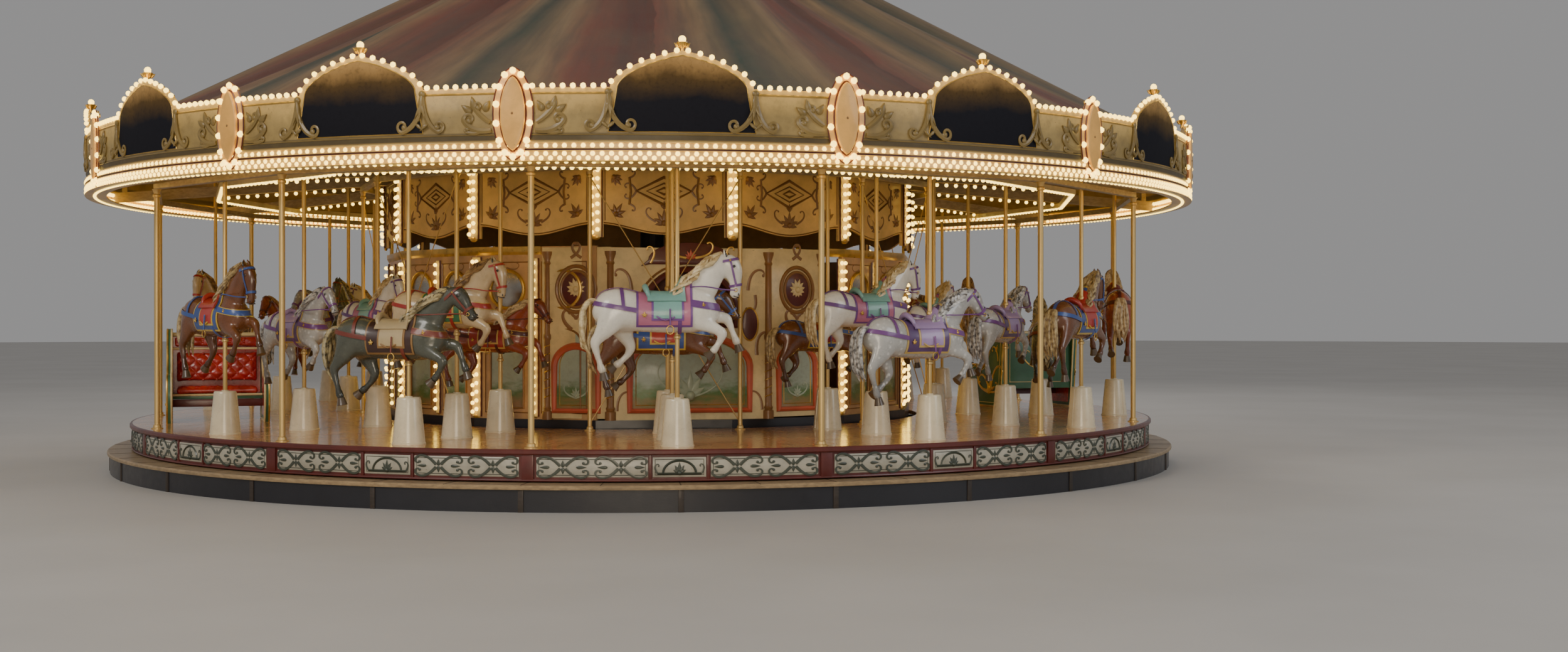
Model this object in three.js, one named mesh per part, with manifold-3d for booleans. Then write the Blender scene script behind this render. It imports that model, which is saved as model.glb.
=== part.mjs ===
// A three-abreast fairground carousel in millimetres, +Z up, the origin on the ground at its axis.
// A bearing angle is counted from the front (-Y) towards the right (+X), the way the ride turns.
import * as THREE from "three";
import { mergeVertices } from "three/addons/utils/BufferGeometryUtils.js";
import Module from "manifold-3d";

const wasm = await Module();
wasm.setup();

// Driving dimensions
const SECTIONS = 14;
const STEP_DEG = 360 / SECTIONS;
const BOUNDARY_DEG = 15.16; // where a sweep, an outer pole and a shield stand
const RANK_DEG = BOUNDARY_DEG - STEP_DEG / 2; // the middle of a section, where a rank of horses stands
const GAP = 0.3; // between pieces that rest on each other
const EDGE_SIDES = SECTIONS * 3;

const CORNICE_R = 6680; // of the boards' outer face
const BOARD_THICK = 40;
const CORNICE_LOW_Z = 3140;
const CORNICE_TOP_Z = 3775;
const CREST_TOP_Z = 4105;
const CREST_HALF = 640;

const DECK_R = 6210;
const DECK_INNER_R = 3360;
const DECK_Z = 550;
const DECK_THICK = 50;
const FASCIA_LOW_Z = 258;
const STEP_R = 6450;
const STEP_INNER_R = 5960;
const STEP_Z = 245;

const OUTER_POLE_R = 6050;
const INNER_POLE_R = 3600;
const ROW_R = [5800, 4900, 4000];
const ROW_SCALE = [1, 0.92, 0.82];
const CHARIOT_RANKS = [4, 11];
const CHARIOT_R = 5250;

const THROW = 200; // of the cranks that the horses hang from
const HORSE_MID_Z = 1680;
const HORSE_POLE_R = 22;
const POLE_LOW_Z = 770; // of a horse's pole at mid stroke
const POLE_TOP_Z = 3415;
const CONE_H = 445;
const CONE_BASE_R = 160;
const CONE_TOP_R = 112;

const SWEEP_END_R = 6600;
const SWEEP_END_Z = 3160; // underside of a sweep at that radius
const SWEEP_RISE = 0.075;
const SWEEP_DEPTH = 120;
const CRANK_Z = 3640;
const CANOPY_R = 6550;
const CANOPY_EDGE_Z = 3715;
const CANOPY_PEAK_Z = 7080;
const CANOPY_HOLE_R = 330;
const CANOPY_THICK = 15;
const CANOPY_SAG = 160;
const MAST_R = 150;

const DRUM_R = 3330;
const DRUM_LOW_Z = 2650;
const HOUSE_R = 3285;
const HOUSE_TOP_Z = 2530;
const PLINTH_TOP_Z = 640;
const ORGAN_DEG = 7.5;
const ARCH_HALF = 620; // the arch in the organ front
const ARCH_SPRING_Z = 1500;
const BEARER_H = 150;
const HUB_R = 420;

// Colours
const paint = (name, color, roughness = 0.5, metalness = 0) =>
  new THREE.MeshStandardMaterial({ name, color, roughness, metalness });
const brass = paint("brass", 0xc79a4a, 0.3, 0.9);
const deckWood = paint("deck_wood", 0x9c5c2c, 0.3);
const cream = paint("cream_paint", 0xd9c79a, 0.45);
const darkWood = paint("dark_wood", 0x2c211a, 0.6);
const paleWood = paint("pale_wood", 0xb59a6c, 0.6);
const panelGold = paint("panel_gold", 0xd9a860, 0.5);
const shieldOrange = paint("shield_orange", 0xd98a4a, 0.45);
const steel = paint("steel", 0x6d6a66, 0.5, 0.8);
const tilt = paint("tilt_cloth", 0x7d5a48, 0.9);
const redHide = paint("red_hide", 0xa32622, 0.45);
const greenPaint = paint("chariot_green", 0x4d6b4a, 0.45);
const horseColours = [0xe9e2d4, 0x4a4a3c, 0x6e4427, 0xd8c9ab, 0xb8b4ac, 0x8c3b2c].map((color, i) =>
  paint(`horse_${i + 1}`, color, 0.35),
);

// Solids
function toSolid(geometry, matrix) {
  const plain = geometry.clone();
  plain.deleteAttribute("normal");
  plain.deleteAttribute("uv");
  if (matrix) plain.applyMatrix4(matrix);
  const merged = mergeVertices(plain, 1e-3);
  return new wasm.Manifold(
    new wasm.Mesh({
      numProp: 3,
      vertProperties: new Float32Array(merged.attributes.position.array),
      triVerts: new Uint32Array(merged.index.array),
    }),
  );
}

const joined = (solids) => solids.reduce((whole, next) => whole.add(next));

const rad = THREE.MathUtils.degToRad;

// A closed ring swept round the axis through bearings, its profile of [radius, z] points free to change
function sweptRing(bearings, profileAt) {
  const points = [];
  const index = [];
  bearings.forEach((deg, column) => {
    const profile = profileAt(deg);
    const [here, there] = [column, (column + 1) % bearings.length].map((n) => n * profile.length);
    profile.forEach(([r, z], i) => {
      const next = (i + 1) % profile.length;
      points.push(r * Math.sin(rad(deg)), -r * Math.cos(rad(deg)), z);
      index.push(here + i, there + next, here + next, here + i, there + i, there + next);
    });
  });
  const shape = new THREE.BufferGeometry();
  shape.setAttribute("position", new THREE.Float32BufferAttribute(points, 3));
  shape.setIndex(index);
  return shape;
}

// What is built at the front, turned round the axis to a bearing
const atBearing = (deg) => new THREE.Matrix4().makeRotationZ(rad(deg));

const boundaries = Array.from({ length: SECTIONS }, (_, i) => BOUNDARY_DEG + i * STEP_DEG);
const ranks = Array.from({ length: SECTIONS }, (_, i) => RANK_DEG + i * STEP_DEG);

const everySection = (bearings, make) => joined(bearings.map((deg, i) => toSolid(make(i), atBearing(deg))));

// A ring round the axis from a profile of [radius, z] points, its corners on the section boundaries
function ring(points, sides = SECTIONS, startDeg = BOUNDARY_DEG) {
  const profile = points.map(([r, z]) => new THREE.Vector2(r, z));
  if (THREE.ShapeUtils.isClockWise(profile)) profile.reverse();
  profile.push(profile[0].clone());
  const shape = new THREE.LatheGeometry(profile, sides, rad(startDeg), 2 * Math.PI);
  return shape.rotateX(Math.PI / 2);
}

const band = (innerR, outerR, lowZ, topZ) => [
  [innerR, lowZ],
  [outerR, lowZ],
  [outerR, topZ],
  [innerR, topZ],
];

function box(sizeX, sizeY, sizeZ, x, y, z) {
  return new THREE.BoxGeometry(sizeX, sizeY, sizeZ).translate(x, y, z);
}

// An upright round bar at the front, at a radius from the axis
function post(radius, barR, lowZ, topZ, sides = 6) {
  const bar = new THREE.CylinderGeometry(barR, barR, topZ - lowZ, sides);
  return bar.rotateX(Math.PI / 2).translate(0, -radius, (lowZ + topZ) / 2);
}

// A plate at the front whose outline is in [across, z], its outer face at a radius
function plate(outline, faceR, thick) {
  const shape = new THREE.Shape(outline.map(([x, z]) => new THREE.Vector2(x, z)));
  const solid = new THREE.ExtrudeGeometry(shape, { depth: thick, bevelEnabled: false });
  return solid.rotateX(Math.PI / 2).translate(0, thick - faceR, 0);
}

// A rib at the front whose outline is in [radius, z], with a width across
function rib(outline, width) {
  const shape = new THREE.Shape(outline.map(([r, z]) => new THREE.Vector2(r, z)));
  const solid = new THREE.ExtrudeGeometry(shape, { depth: width, bevelEnabled: false });
  return solid.rotateX(Math.PI / 2).translate(0, width / 2, 0).rotateZ(-Math.PI / 2);
}

// A limb along stations of [x, z, half depth, half width], in the upright plane across y
function limb(stations, sides, y = 0) {
  const last = stations.length - 1;
  const shape = new THREE.CylinderGeometry(1, 1, 1, sides, last);
  const position = shape.attributes.position;
  const along = (i) => {
    const from = stations[Math.max(i - 1, 0)];
    const to = stations[Math.min(i + 1, last)];
    return new THREE.Vector2(to[0] - from[0], to[1] - from[1]).normalize();
  };
  for (let i = 0; i < position.count; i++) {
    const station = Math.round((position.getY(i) + 0.5) * last);
    const [x, z, depth, width] = stations[station];
    const run = along(station);
    const out = position.getZ(i) * depth;
    position.setXYZ(i, x - run.y * out, y - position.getX(i) * width, z + run.x * out);
  }
  return shape;
}

// The ground frame, the step round it and the mast
const bearerBearings = boundaries.filter((_, i) => i % 2 === 0);
const STEP_SIDES = SECTIONS * 2;
const BEARER_WIDTH = 140;
const FOOTING_R = 900;
const bearerTipR = STEP_INNER_R - (BEARER_WIDTH / 2) * Math.tan(Math.PI / STEP_SIDES) - GAP;
const bearerStartR = FOOTING_R - 200;
const groundFrame = everySection(bearerBearings, () =>
  box(BEARER_WIDTH, bearerTipR - bearerStartR, BEARER_H, 0, -(bearerTipR + bearerStartR) / 2, BEARER_H / 2),
).add(toSolid(ring(band(0, FOOTING_R, 0, BEARER_H))));

const entryStep = toSolid(
  ring(
    [
      [STEP_INNER_R, 0],
      [STEP_INNER_R + 30, 0],
      [STEP_INNER_R + 30, STEP_Z - 40],
      [STEP_R - 60, STEP_Z - 40],
      [STEP_R - 60, 0],
      [STEP_R - 30, 0],
      [STEP_R - 30, STEP_Z - 40],
      [STEP_R, STEP_Z - 40],
      [STEP_R, STEP_Z],
      [STEP_INNER_R, STEP_Z],
    ],
    STEP_SIDES,
  ),
);

const sweepZ = (r) => SWEEP_END_Z + SWEEP_RISE * (SWEEP_END_R - r);
const FLANGE_THICK = 60;
const COLLAR_OUT = 80; // the thrust collar that carries the hub
const COLLAR_H = 60;
const hubZ = sweepZ(HUB_R) - 30;
const centreMast = toSolid(
  ring([
    [0, BEARER_H + GAP],
    [HUB_R, BEARER_H + GAP],
    [HUB_R, BEARER_H + FLANGE_THICK],
    [MAST_R, BEARER_H + FLANGE_THICK],
    [MAST_R, hubZ - COLLAR_H - GAP],
    [MAST_R + COLLAR_OUT, hubZ - COLLAR_H - GAP],
    [MAST_R + COLLAR_OUT, hubZ - GAP],
    [MAST_R, hubZ - GAP],
    [MAST_R, CANOPY_PEAK_Z - 40],
    [0, CANOPY_PEAK_Z - 40],
  ]),
);

// The house round the mast: a plinth, a wall open at the organ, and the organ front
const housePlinth = toSolid(ring(band(HOUSE_R - 90, HOUSE_R + 35, BEARER_H + GAP, PLINTH_TOP_Z)));

// The organ front in plan, as [across, out] at its own bearing
const ORGAN_HALF = 870;
const ORGAN_FACE = 3170;
const WING_X = 1580;
const WING_Y = 2845;
const ORGAN_WALL = 60;
const organPlan = [
  [-WING_X, WING_Y],
  [-ORGAN_HALF, ORGAN_FACE],
  [ORGAN_HALF, ORGAN_FACE],
  [WING_X, WING_Y],
  [WING_X - 30, WING_Y - ORGAN_WALL],
  [ORGAN_HALF - 10, ORGAN_FACE - ORGAN_WALL],
  [10 - ORGAN_HALF, ORGAN_FACE - ORGAN_WALL],
  [30 - WING_X, WING_Y - ORGAN_WALL],
];

function upright(plan, lowZ, topZ) {
  const shape = new THREE.Shape(plan.map(([x, out]) => new THREE.Vector2(x, -out)));
  const solid = new THREE.ExtrudeGeometry(shape, { depth: topZ - lowZ, bevelEnabled: false });
  return solid.translate(0, 0, lowZ);
}

const organLow = PLINTH_TOP_Z + GAP;
const COLUMN_R = 45;
const organColumn = (x, out) => post(out, COLUMN_R, organLow, HOUSE_TOP_Z - 60, 8).translate(x, 0, 0);
const crestOutline = [
  [-700, HOUSE_TOP_Z - 130],
  [700, HOUSE_TOP_Z - 130],
  [560, HOUSE_TOP_Z - 20],
  [250, HOUSE_TOP_Z + 40],
  [-250, HOUSE_TOP_Z + 40],
  [-560, HOUSE_TOP_Z - 20],
];
const archSteps = 8;
const archSill = organLow + 60;
const archOutline = [[-ARCH_HALF, archSill], [ARCH_HALF, archSill]];
for (let i = 0; i <= archSteps; i++) {
  const turn = (Math.PI * i) / archSteps;
  archOutline.push([ARCH_HALF * Math.cos(turn), ARCH_SPRING_Z + ARCH_HALF * Math.sin(turn)]);
}
const organFront = joined([
  toSolid(upright(organPlan, organLow, HOUSE_TOP_Z)),
  toSolid(organColumn(-ORGAN_HALF, ORGAN_FACE - 10)),
  toSolid(organColumn(ORGAN_HALF, ORGAN_FACE - 10)),
  toSolid(organColumn(60 - WING_X, WING_Y + 5)),
  toSolid(organColumn(WING_X - 60, WING_Y + 5)),
  toSolid(plate(crestOutline, ORGAN_FACE + 45, 60)),
])
  .subtract(toSolid(plate(archOutline, ORGAN_FACE + 100, 125)))
  .transform(atBearing(ORGAN_DEG).elements);

const WALL_THICK = 45;
const CUT_DEG = 29.6; // half the angle that the wall leaves open for the organ
const CUT_R = 5000; // past the wall on every side
const organSector = [
  [0, 0],
  [-CUT_R * Math.sin(rad(CUT_DEG)), CUT_R * Math.cos(rad(CUT_DEG))],
  [CUT_R * Math.sin(rad(CUT_DEG)), CUT_R * Math.cos(rad(CUT_DEG))],
];
const houseWalls = toSolid(
  ring([
    [HOUSE_R - WALL_THICK, organLow],
    [HOUSE_R, organLow],
    [HOUSE_R, HOUSE_TOP_Z - 90],
    [HOUSE_R + 25, HOUSE_TOP_Z - 70],
    [HOUSE_R + 25, HOUSE_TOP_Z],
    [HOUSE_R - WALL_THICK, HOUSE_TOP_Z],
  ]),
).subtract(toSolid(upright(organSector, 0, HOUSE_TOP_Z + 100), atBearing(ORGAN_DEG)));

// The deck with a hollow cone round each horse's pole, and the fascia under its rim
const horseRanks = ranks.map((deg, i) => ({ deg, i })).filter(({ i }) => !CHARIOT_RANKS.includes(i));
const BUSH_R = HORSE_POLE_R + 0.5;

function coneSleeve() {
  const profile = [
    [BUSH_R, DECK_Z - 20],
    [CONE_BASE_R, DECK_Z - 20],
    [CONE_TOP_R, DECK_Z + CONE_H],
    [BUSH_R, DECK_Z + CONE_H],
    [BUSH_R, DECK_Z - 20],
  ].map(([r, z]) => new THREE.Vector2(r, z));
  return new THREE.LatheGeometry(profile, 6).rotateX(Math.PI / 2);
}

const sleeves = horseRanks.flatMap(({ deg }) =>
  ROW_R.map((r) => toSolid(coneSleeve().translate(0, -r, 0), atBearing(deg))),
);
const deck = joined([
  toSolid(ring(band(DECK_INNER_R, DECK_R, DECK_Z - DECK_THICK, DECK_Z), EDGE_SIDES)),
  ...sleeves,
]);
const deckFascia = toSolid(
  ring(band(DECK_R - 80, DECK_R - 20, FASCIA_LOW_Z, DECK_Z - DECK_THICK - GAP), EDGE_SIDES),
);

// Poles and the beams that join their tops
const BEAM_HALF = 35;
const BEAM_DEPTH = 60;
function poleFrame(radius, barR) {
  const topZ = sweepZ(radius + BEAM_HALF) - GAP;
  return everySection(boundaries, () => post(radius, barR, DECK_Z + GAP, topZ - 10)).add(
    toSolid(ring(band(radius - BEAM_HALF, radius + BEAM_HALF, topZ - BEAM_DEPTH, topZ))),
  );
}
const outerFrame = poleFrame(OUTER_POLE_R, 30);

// Two stays cross in every other bay, one just in front of the other
const STAY_R = 6;
const bracedBays = ranks.filter((_, i) => i % 2 === 0);
function stay(rising) {
  const reach = INNER_POLE_R * Math.sin(rad(STEP_DEG / 2)) - 1.5 * STAY_R;
  const out = INNER_POLE_R * Math.cos(rad(STEP_DEG / 2)) + (rising ? 1 : -1) * (STAY_R + 2);
  const [low, high] = [DECK_Z + 90, sweepZ(INNER_POLE_R) - 150];
  const run = new THREE.Vector2(2 * reach, rising ? high - low : low - high);
  const bar = new THREE.CylinderGeometry(STAY_R, STAY_R, run.length(), 4).rotateZ(-Math.PI / 2);
  return bar.rotateY(-run.angle()).translate(0, -out, (low + high) / 2);
}
const innerFrame = joined([
  poleFrame(INNER_POLE_R, 25),
  everySection(bracedBays, () => stay(true)),
  everySection(bracedBays, () => stay(false)),
]);

// The sweeps with their hub on the mast, the crank shafts over the ranks and the ring of lights below
const RAFTER_FOOT_R = CANOPY_R - 60;
const SWEEP_WIDTH = 60;
const HALF_SECTION = Math.PI / SECTIONS;
const BOARD_INNER_R = CORNICE_R - BOARD_THICK;
const FLAT_DEG = 9.2; // where a board's low part bends, either side of its crest
const tipClear = (SWEEP_WIDTH / 2) * Math.tan(rad(STEP_DEG / 2 - FLAT_DEG) / 2);
const SWEEP_TIP_R = BOARD_INNER_R - tipClear - GAP;
const sweepOutline = [
  [HUB_R - 40, sweepZ(HUB_R - 40)],
  [SWEEP_TIP_R, sweepZ(SWEEP_TIP_R)],
  [SWEEP_TIP_R, sweepZ(SWEEP_TIP_R) + SWEEP_DEPTH],
  [HUB_R - 40, sweepZ(HUB_R - 40) + SWEEP_DEPTH],
];
const runningR = (MAST_R + 0.5) / Math.cos(Math.PI / SECTIONS);
const CRANK_RIM_R = RAFTER_FOOT_R - 60 - GAP;
const CRANK_BAR = 36;
const crankStartR = HUB_R - 80; // inside the hub
const crankEndR = CRANK_RIM_R * Math.cos(HALF_SECTION) - 30; // inside the rim's flat side
const roofSweeps = joined([
  everySection(boundaries, () => rib(sweepOutline, SWEEP_WIDTH)),
  toSolid(ring(band(runningR, HUB_R, hubZ, hubZ + SWEEP_DEPTH))),
  everySection(
    horseRanks.map(({ deg }) => deg),
    () => box(CRANK_BAR, crankEndR - crankStartR, CRANK_BAR, 0, -(crankEndR + crankStartR) / 2, CRANK_Z),
  ),
  toSolid(ring(band(CRANK_RIM_R - 60, CRANK_RIM_R, CRANK_Z - 40, CRANK_Z + 35))),
]);
const MID_RING_R = 5350;
const lightRing = toSolid(ring(band(MID_RING_R - 35, MID_RING_R + 35, sweepZ(MID_RING_R) - 60,
  sweepZ(MID_RING_R + 35) - GAP)));

// The rafters from the mast head to the rim, and the canopy over them
const canopySlope = (CANOPY_PEAK_Z - CANOPY_EDGE_Z) / (CANOPY_R - CANOPY_HOLE_R);
const canopyZ = (r) => CANOPY_EDGE_Z + canopySlope * (CANOPY_R - r);
const RAFTER_WIDTH = 44;
const HEAD_R = CANOPY_HOLE_R + 60;
const SEAT_HALF = RAFTER_WIDTH / 2 + 4; // the cloth lies flat on a rafter and a little past it
const facetDrop = canopySlope * (Math.hypot(HEAD_R, SEAT_HALF) - HEAD_R);
const seatGap = GAP / Math.cos(Math.atan(canopySlope));
const underCanopy = (r) => canopyZ(r) - CANOPY_THICK - facetDrop - seatGap;
const RAFTER_DEPTH = 80;
const sweepTopZ = (r) => sweepZ(r) + SWEEP_DEPTH;
const rafterOutline = [
  [RAFTER_FOOT_R - 60, sweepTopZ(RAFTER_FOOT_R - 60) + GAP],
  [RAFTER_FOOT_R, sweepTopZ(RAFTER_FOOT_R - 60) + GAP],
  [RAFTER_FOOT_R, underCanopy(RAFTER_FOOT_R)],
  [HEAD_R, underCanopy(HEAD_R)],
  [HEAD_R, underCanopy(HEAD_R) - RAFTER_DEPTH],
  [RAFTER_FOOT_R - 60, underCanopy(RAFTER_FOOT_R - 60) - RAFTER_DEPTH],
];
const headTop = underCanopy(HEAD_R + 20);
const roofRafters = joined([
  everySection(boundaries, () => rib(rafterOutline, RAFTER_WIDTH)),
  toSolid(ring(band(runningR, HEAD_R + 20, headTop - 130, headTop - 10))),
]);

const SAG_START_R = 480;
const canopyRings = [CANOPY_HOLE_R, SAG_START_R, 1000, 2200, 3800, 5300, CANOPY_R];
function canopyDrop(r, phase) {
  const share = Math.max(0, (r - SAG_START_R) / (CANOPY_R - SAG_START_R));
  const across = Math.sin(Math.PI * phase);
  const hang = across ** 0.8 * Math.sin(Math.PI * share ** 0.9);
  const folds = across ** 0.5 * Math.sin(Math.PI * share) ** 0.6;
  return CANOPY_SAG * hang + 34 * folds;
}

// The canopy as a skin over the rafters: on every ring it runs flat over a rafter and sags to the next
function saggingCanopy() {
  const phases = [0, 0.25, 0.5, 0.75, 1];
  const columns = SECTIONS * phases.length;
  const points = [];
  for (const drop of [0, CANOPY_THICK]) {
    for (const r of canopyRings) {
      const seat = Math.asin(SEAT_HALF / r);
      for (let column = 0; column < columns; column++) {
        const phase = phases[column % phases.length];
        const start = rad(boundaries[Math.floor(column / phases.length)]);
        const turn = start + seat + (rad(STEP_DEG) - 2 * seat) * phase;
        const z = canopyZ(r) - drop - canopyDrop(r, phase);
        points.push(r * Math.sin(turn), -r * Math.cos(turn), z);
      }
    }
  }
  const last = canopyRings.length - 1;
  const under = canopyRings.length * columns;
  const index = [];
  const quad = (a, b, c, d) => index.push(a, b, c, a, c, d);
  for (let column = 0; column < columns; column++) {
    const next = (column + 1) % columns;
    for (let i = 0; i < last; i++) {
      const [a, b] = [i * columns + column, (i + 1) * columns + column];
      const [c, d] = [(i + 1) * columns + next, i * columns + next];
      quad(a, b, c, d);
      quad(under + d, under + c, under + b, under + a);
    }
    const [rim, rimNext] = [last * columns + column, last * columns + next];
    quad(under + rim, under + rimNext, rimNext, rim);
    quad(column, next, under + next, under + column);
  }
  const shape = new THREE.BufferGeometry();
  shape.setAttribute("position", new THREE.Float32BufferAttribute(points, 3));
  shape.setIndex(index);
  return shape;
}
const canopy = toSolid(saggingCanopy());

const crownLow = CANOPY_PEAK_Z + GAP;
const roofCrown = toSolid(
  ring([
    [0, crownLow],
    [CANOPY_HOLE_R + 30, crownLow],
    [CANOPY_HOLE_R + 30, crownLow + 40],
    [120, crownLow + 190],
    [60, crownLow + 260],
    [110, crownLow + 330],
    [110, crownLow + 400],
    [30, crownLow + 480],
    [0, crownLow + 620],
  ]),
);

// The drum's valance, scalloped between its corner bars
const drumSide = 2 * DRUM_R * Math.sin(rad(STEP_DEG / 2));
const drumFace = DRUM_R * Math.cos(rad(STEP_DEG / 2));
const VALANCE_THICK = 40;
const VALANCE_TOP_Z = sweepZ(DRUM_R) - GAP;
const barHalf = 75;
function valanceOutline() {
  const half = drumSide / 2;
  const outline = [[half, VALANCE_TOP_Z], [-half, VALANCE_TOP_Z], [-half, DRUM_LOW_Z - 40]];
  outline.push([barHalf - half, DRUM_LOW_Z - 40]);
  const waves = 4;
  for (let i = 0; i <= waves; i++) {
    const share = i / waves;
    const drop = (1 - Math.cos(2 * Math.PI * share)) / 2;
    outline.push([(share - 0.5) * 2 * (half - barHalf), DRUM_LOW_Z + 110 * (1 - drop)]);
  }
  outline.push([half - barHalf, DRUM_LOW_Z - 40], [half, DRUM_LOW_Z - 40]);
  return outline;
}
const drumValance = everySection(ranks, () => plate(valanceOutline(), drumFace, VALANCE_THICK));

// The rounding boards, a crest in the middle of each, and the rail that they stand on with its shields
const CREST_DEG = THREE.MathUtils.radToDeg(CREST_HALF / CORNICE_R);
const crestShares = [1, 0.93, 0.78, 0.55, 0.28];
const bends = [FLAT_DEG, ...crestShares.map((share) => share * CREST_DEG)];
const boardBends = [-STEP_DEG / 2, ...bends.map((deg) => -deg), 0, ...bends.toReversed()];
const boardBearings = ranks.flatMap((rank) => boardBends.map((deg) => rank + deg));

// The crest's edge: an ellipse drawn up to a blunt point
function boardTopZ(deg) {
  const offset = (((deg - RANK_DEG) % STEP_DEG) + 1.5 * STEP_DEG) % STEP_DEG - STEP_DEG / 2;
  const share = Math.min(Math.abs(offset) / CREST_DEG, 1);
  const height = 0.65 * Math.sqrt(1 - share * share) + 0.35 * (1 - share);
  return CORNICE_TOP_Z + (CREST_TOP_Z - CORNICE_TOP_Z) * height;
}
const corniceBoards = toSolid(
  sweptRing(boardBearings, (deg) => [
    [BOARD_INNER_R, CORNICE_LOW_Z],
    [CORNICE_R, CORNICE_LOW_Z],
    [CORNICE_R, boardTopZ(deg)],
    [BOARD_INNER_R, boardTopZ(deg)],
  ]),
);

const RAIL_INNER_R = 6450;
const RAIL_R = CORNICE_R + 15;
const SHIELD_Z = 3540;
const SHIELD_SIDES = 10;
const SHIELD_THICK = 35;
const shieldOutline = Array.from({ length: SHIELD_SIDES }, (_, i) => {
  const turn = (2 * Math.PI * i) / SHIELD_SIDES;
  return [190 * Math.sin(turn), SHIELD_Z + 420 * Math.cos(turn)];
});
const corniceRail = joined([
  toSolid(ring(band(RAIL_INNER_R, RAIL_R, CORNICE_LOW_Z - 40, CORNICE_LOW_Z - GAP), SECTIONS * 4)),
  everySection(boundaries, () => plate(shieldOutline, CORNICE_R + GAP + SHIELD_THICK, SHIELD_THICK)),
]);

// A chariot facing forwards (+x), its bench across the deck
function chariotBody() {
  const sideOutline = [
    [-470, 0],
    [430, 0],
    [560, 260],
    [500, 520],
    [330, 560],
    [150, 500],
    [-60, 620],
    [-250, 940],
    [-420, 1070],
    [-560, 960],
  ];
  const shape = new THREE.Shape(sideOutline.map(([x, z]) => new THREE.Vector2(x, z)));
  const side = (y) =>
    new THREE.ExtrudeGeometry(shape, { depth: 50, bevelEnabled: false })
      .rotateX(Math.PI / 2)
      .translate(0, y + 25, 0);
  return joined([
    toSolid(side(-530)),
    toSolid(side(530)),
    toSolid(box(400, 1040, 60, -230, 0, 280)),
    toSolid(box(50, 1040, 745, -455, 0, 622.5)),
    toSolid(box(40, 1040, 90, -60, 0, 205)),
  ]);
}

function chariotCushion() {
  const profile = [
    [-400, 310 + GAP],
    [0, 310 + GAP],
    [20, 360],
    [0, 410],
    [-290, 420],
    [-350, 1010],
    [-430 + GAP, 1010],
    [-430 + GAP, 310 + GAP],
  ];
  const shape = new THREE.Shape(profile.map(([x, z]) => new THREE.Vector2(x, z)));
  const solid = new THREE.ExtrudeGeometry(shape, { depth: 1000, bevelEnabled: false });
  return toSolid(solid.rotateX(Math.PI / 2).translate(0, 500, 0));
}

// A jumping horse on its pole, facing +x, with the pole's axis at the origin
const hindquarters = [
  [-840, -400, 26, 22],
  [-860, -80, 50, 40],
  [-745, 100, 48, 40],
  [-640, 40, 170, 140],
  [-330, -10, 182, 152],
  [0, -10, 182, 152],
];
const tuckedHead = [
  [190, 60, 200, 130],
  [270, 250, 165, 80],
  [370, 410, 120, 62],
  [480, 400, 92, 56],
  [520, 170, 46, 38],
];
const reachingHead = [
  [190, 60, 200, 130],
  [260, 240, 155, 78],
  [350, 390, 112, 60],
  [470, 420, 86, 54],
  [650, 300, 44, 36],
];
const hindStretched = [[-600, 0, 140, 66], [-760, -250, 54, 42], [-690, -600, 36, 34]];
const hindBent = [[-560, -60, 140, 66], [-430, -350, 50, 42], [-580, -520, 36, 34]];
const foreFolded = [[180, -60, 110, 56], [420, -190, 48, 38], [300, -400, 36, 32]];
const foreReaching = [[240, -40, 100, 56], [470, -50, 48, 38], [590, -340, 36, 32]];

function horse(tucked, scale) {
  const parts = [
    limb([...hindquarters, ...(tucked ? tuckedHead : reachingHead)], 6),
    limb(hindStretched, 3, -90),
    limb(hindBent, 3, 90),
    limb(foreFolded, 3, -85),
    limb(foreReaching, 3, 85),
  ];
  const figure = parts.map((part) => toSolid(part.scale(scale, scale, scale)));
  const pole = post(0, HORSE_POLE_R, POLE_LOW_Z - HORSE_MID_Z, POLE_TOP_Z - HORSE_MID_Z);
  return joined([...figure, toSolid(pole)]);
}

// The rest heights of the cranks: the outer and inner horse of a rank are level, the middle one opposite
const CRANK_TURNS = [0.6, -0.7, 0.15, 0.9, 0, -0.35, 0.75, -0.9, 0.4, -0.15, 0.55, 0, 0.35, -0.7];

// The coat of each rank's outer horse
const COATS = [0, 4, 2, 5, 0, 3, 1, 0, 5, 4, 3, 0, 2, 1];

const carousel = new THREE.Group();

function addPiece(parent, name, solid, material) {
  const { numProp, vertProperties, triVerts } = solid.getMesh();
  if (numProp !== 3) throw new Error(`${name} has more than positions`);
  const shape = new THREE.BufferGeometry();
  shape.setAttribute("position", new THREE.BufferAttribute(vertProperties, 3));
  shape.setIndex(new THREE.BufferAttribute(triVerts, 1));
  const piece = new THREE.Mesh(shape, material);
  piece.name = name;
  parent.add(piece);
  return piece;
}

const fixedPieces = [
  ["ground_frame", groundFrame, darkWood],
  ["entry_step", entryStep, paleWood],
  ["centre_mast", centreMast, steel],
  ["house_plinth", housePlinth, darkWood],
  ["house_walls", houseWalls, panelGold],
  ["organ_front", organFront, cream],
];
const turningPieces = [
  ["deck", deck, deckWood],
  ["deck_fascia", deckFascia, cream],
  ["outer_poles", outerFrame, brass],
  ["inner_poles", innerFrame, brass],
  ["roof_sweeps", roofSweeps, steel],
  ["light_ring", lightRing, cream],
  ["roof_rafters", roofRafters, steel],
  ["drum_valance", drumValance, panelGold],
  ["cornice_boards", corniceBoards, cream],
  ["cornice_rail", corniceRail, shieldOrange],
  ["canopy", canopy, tilt],
  ["roof_crown", roofCrown, brass],
];
for (const [name, solid, material] of [...fixedPieces, ...turningPieces]) {
  addPiece(carousel, name, solid, material);
}

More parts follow.
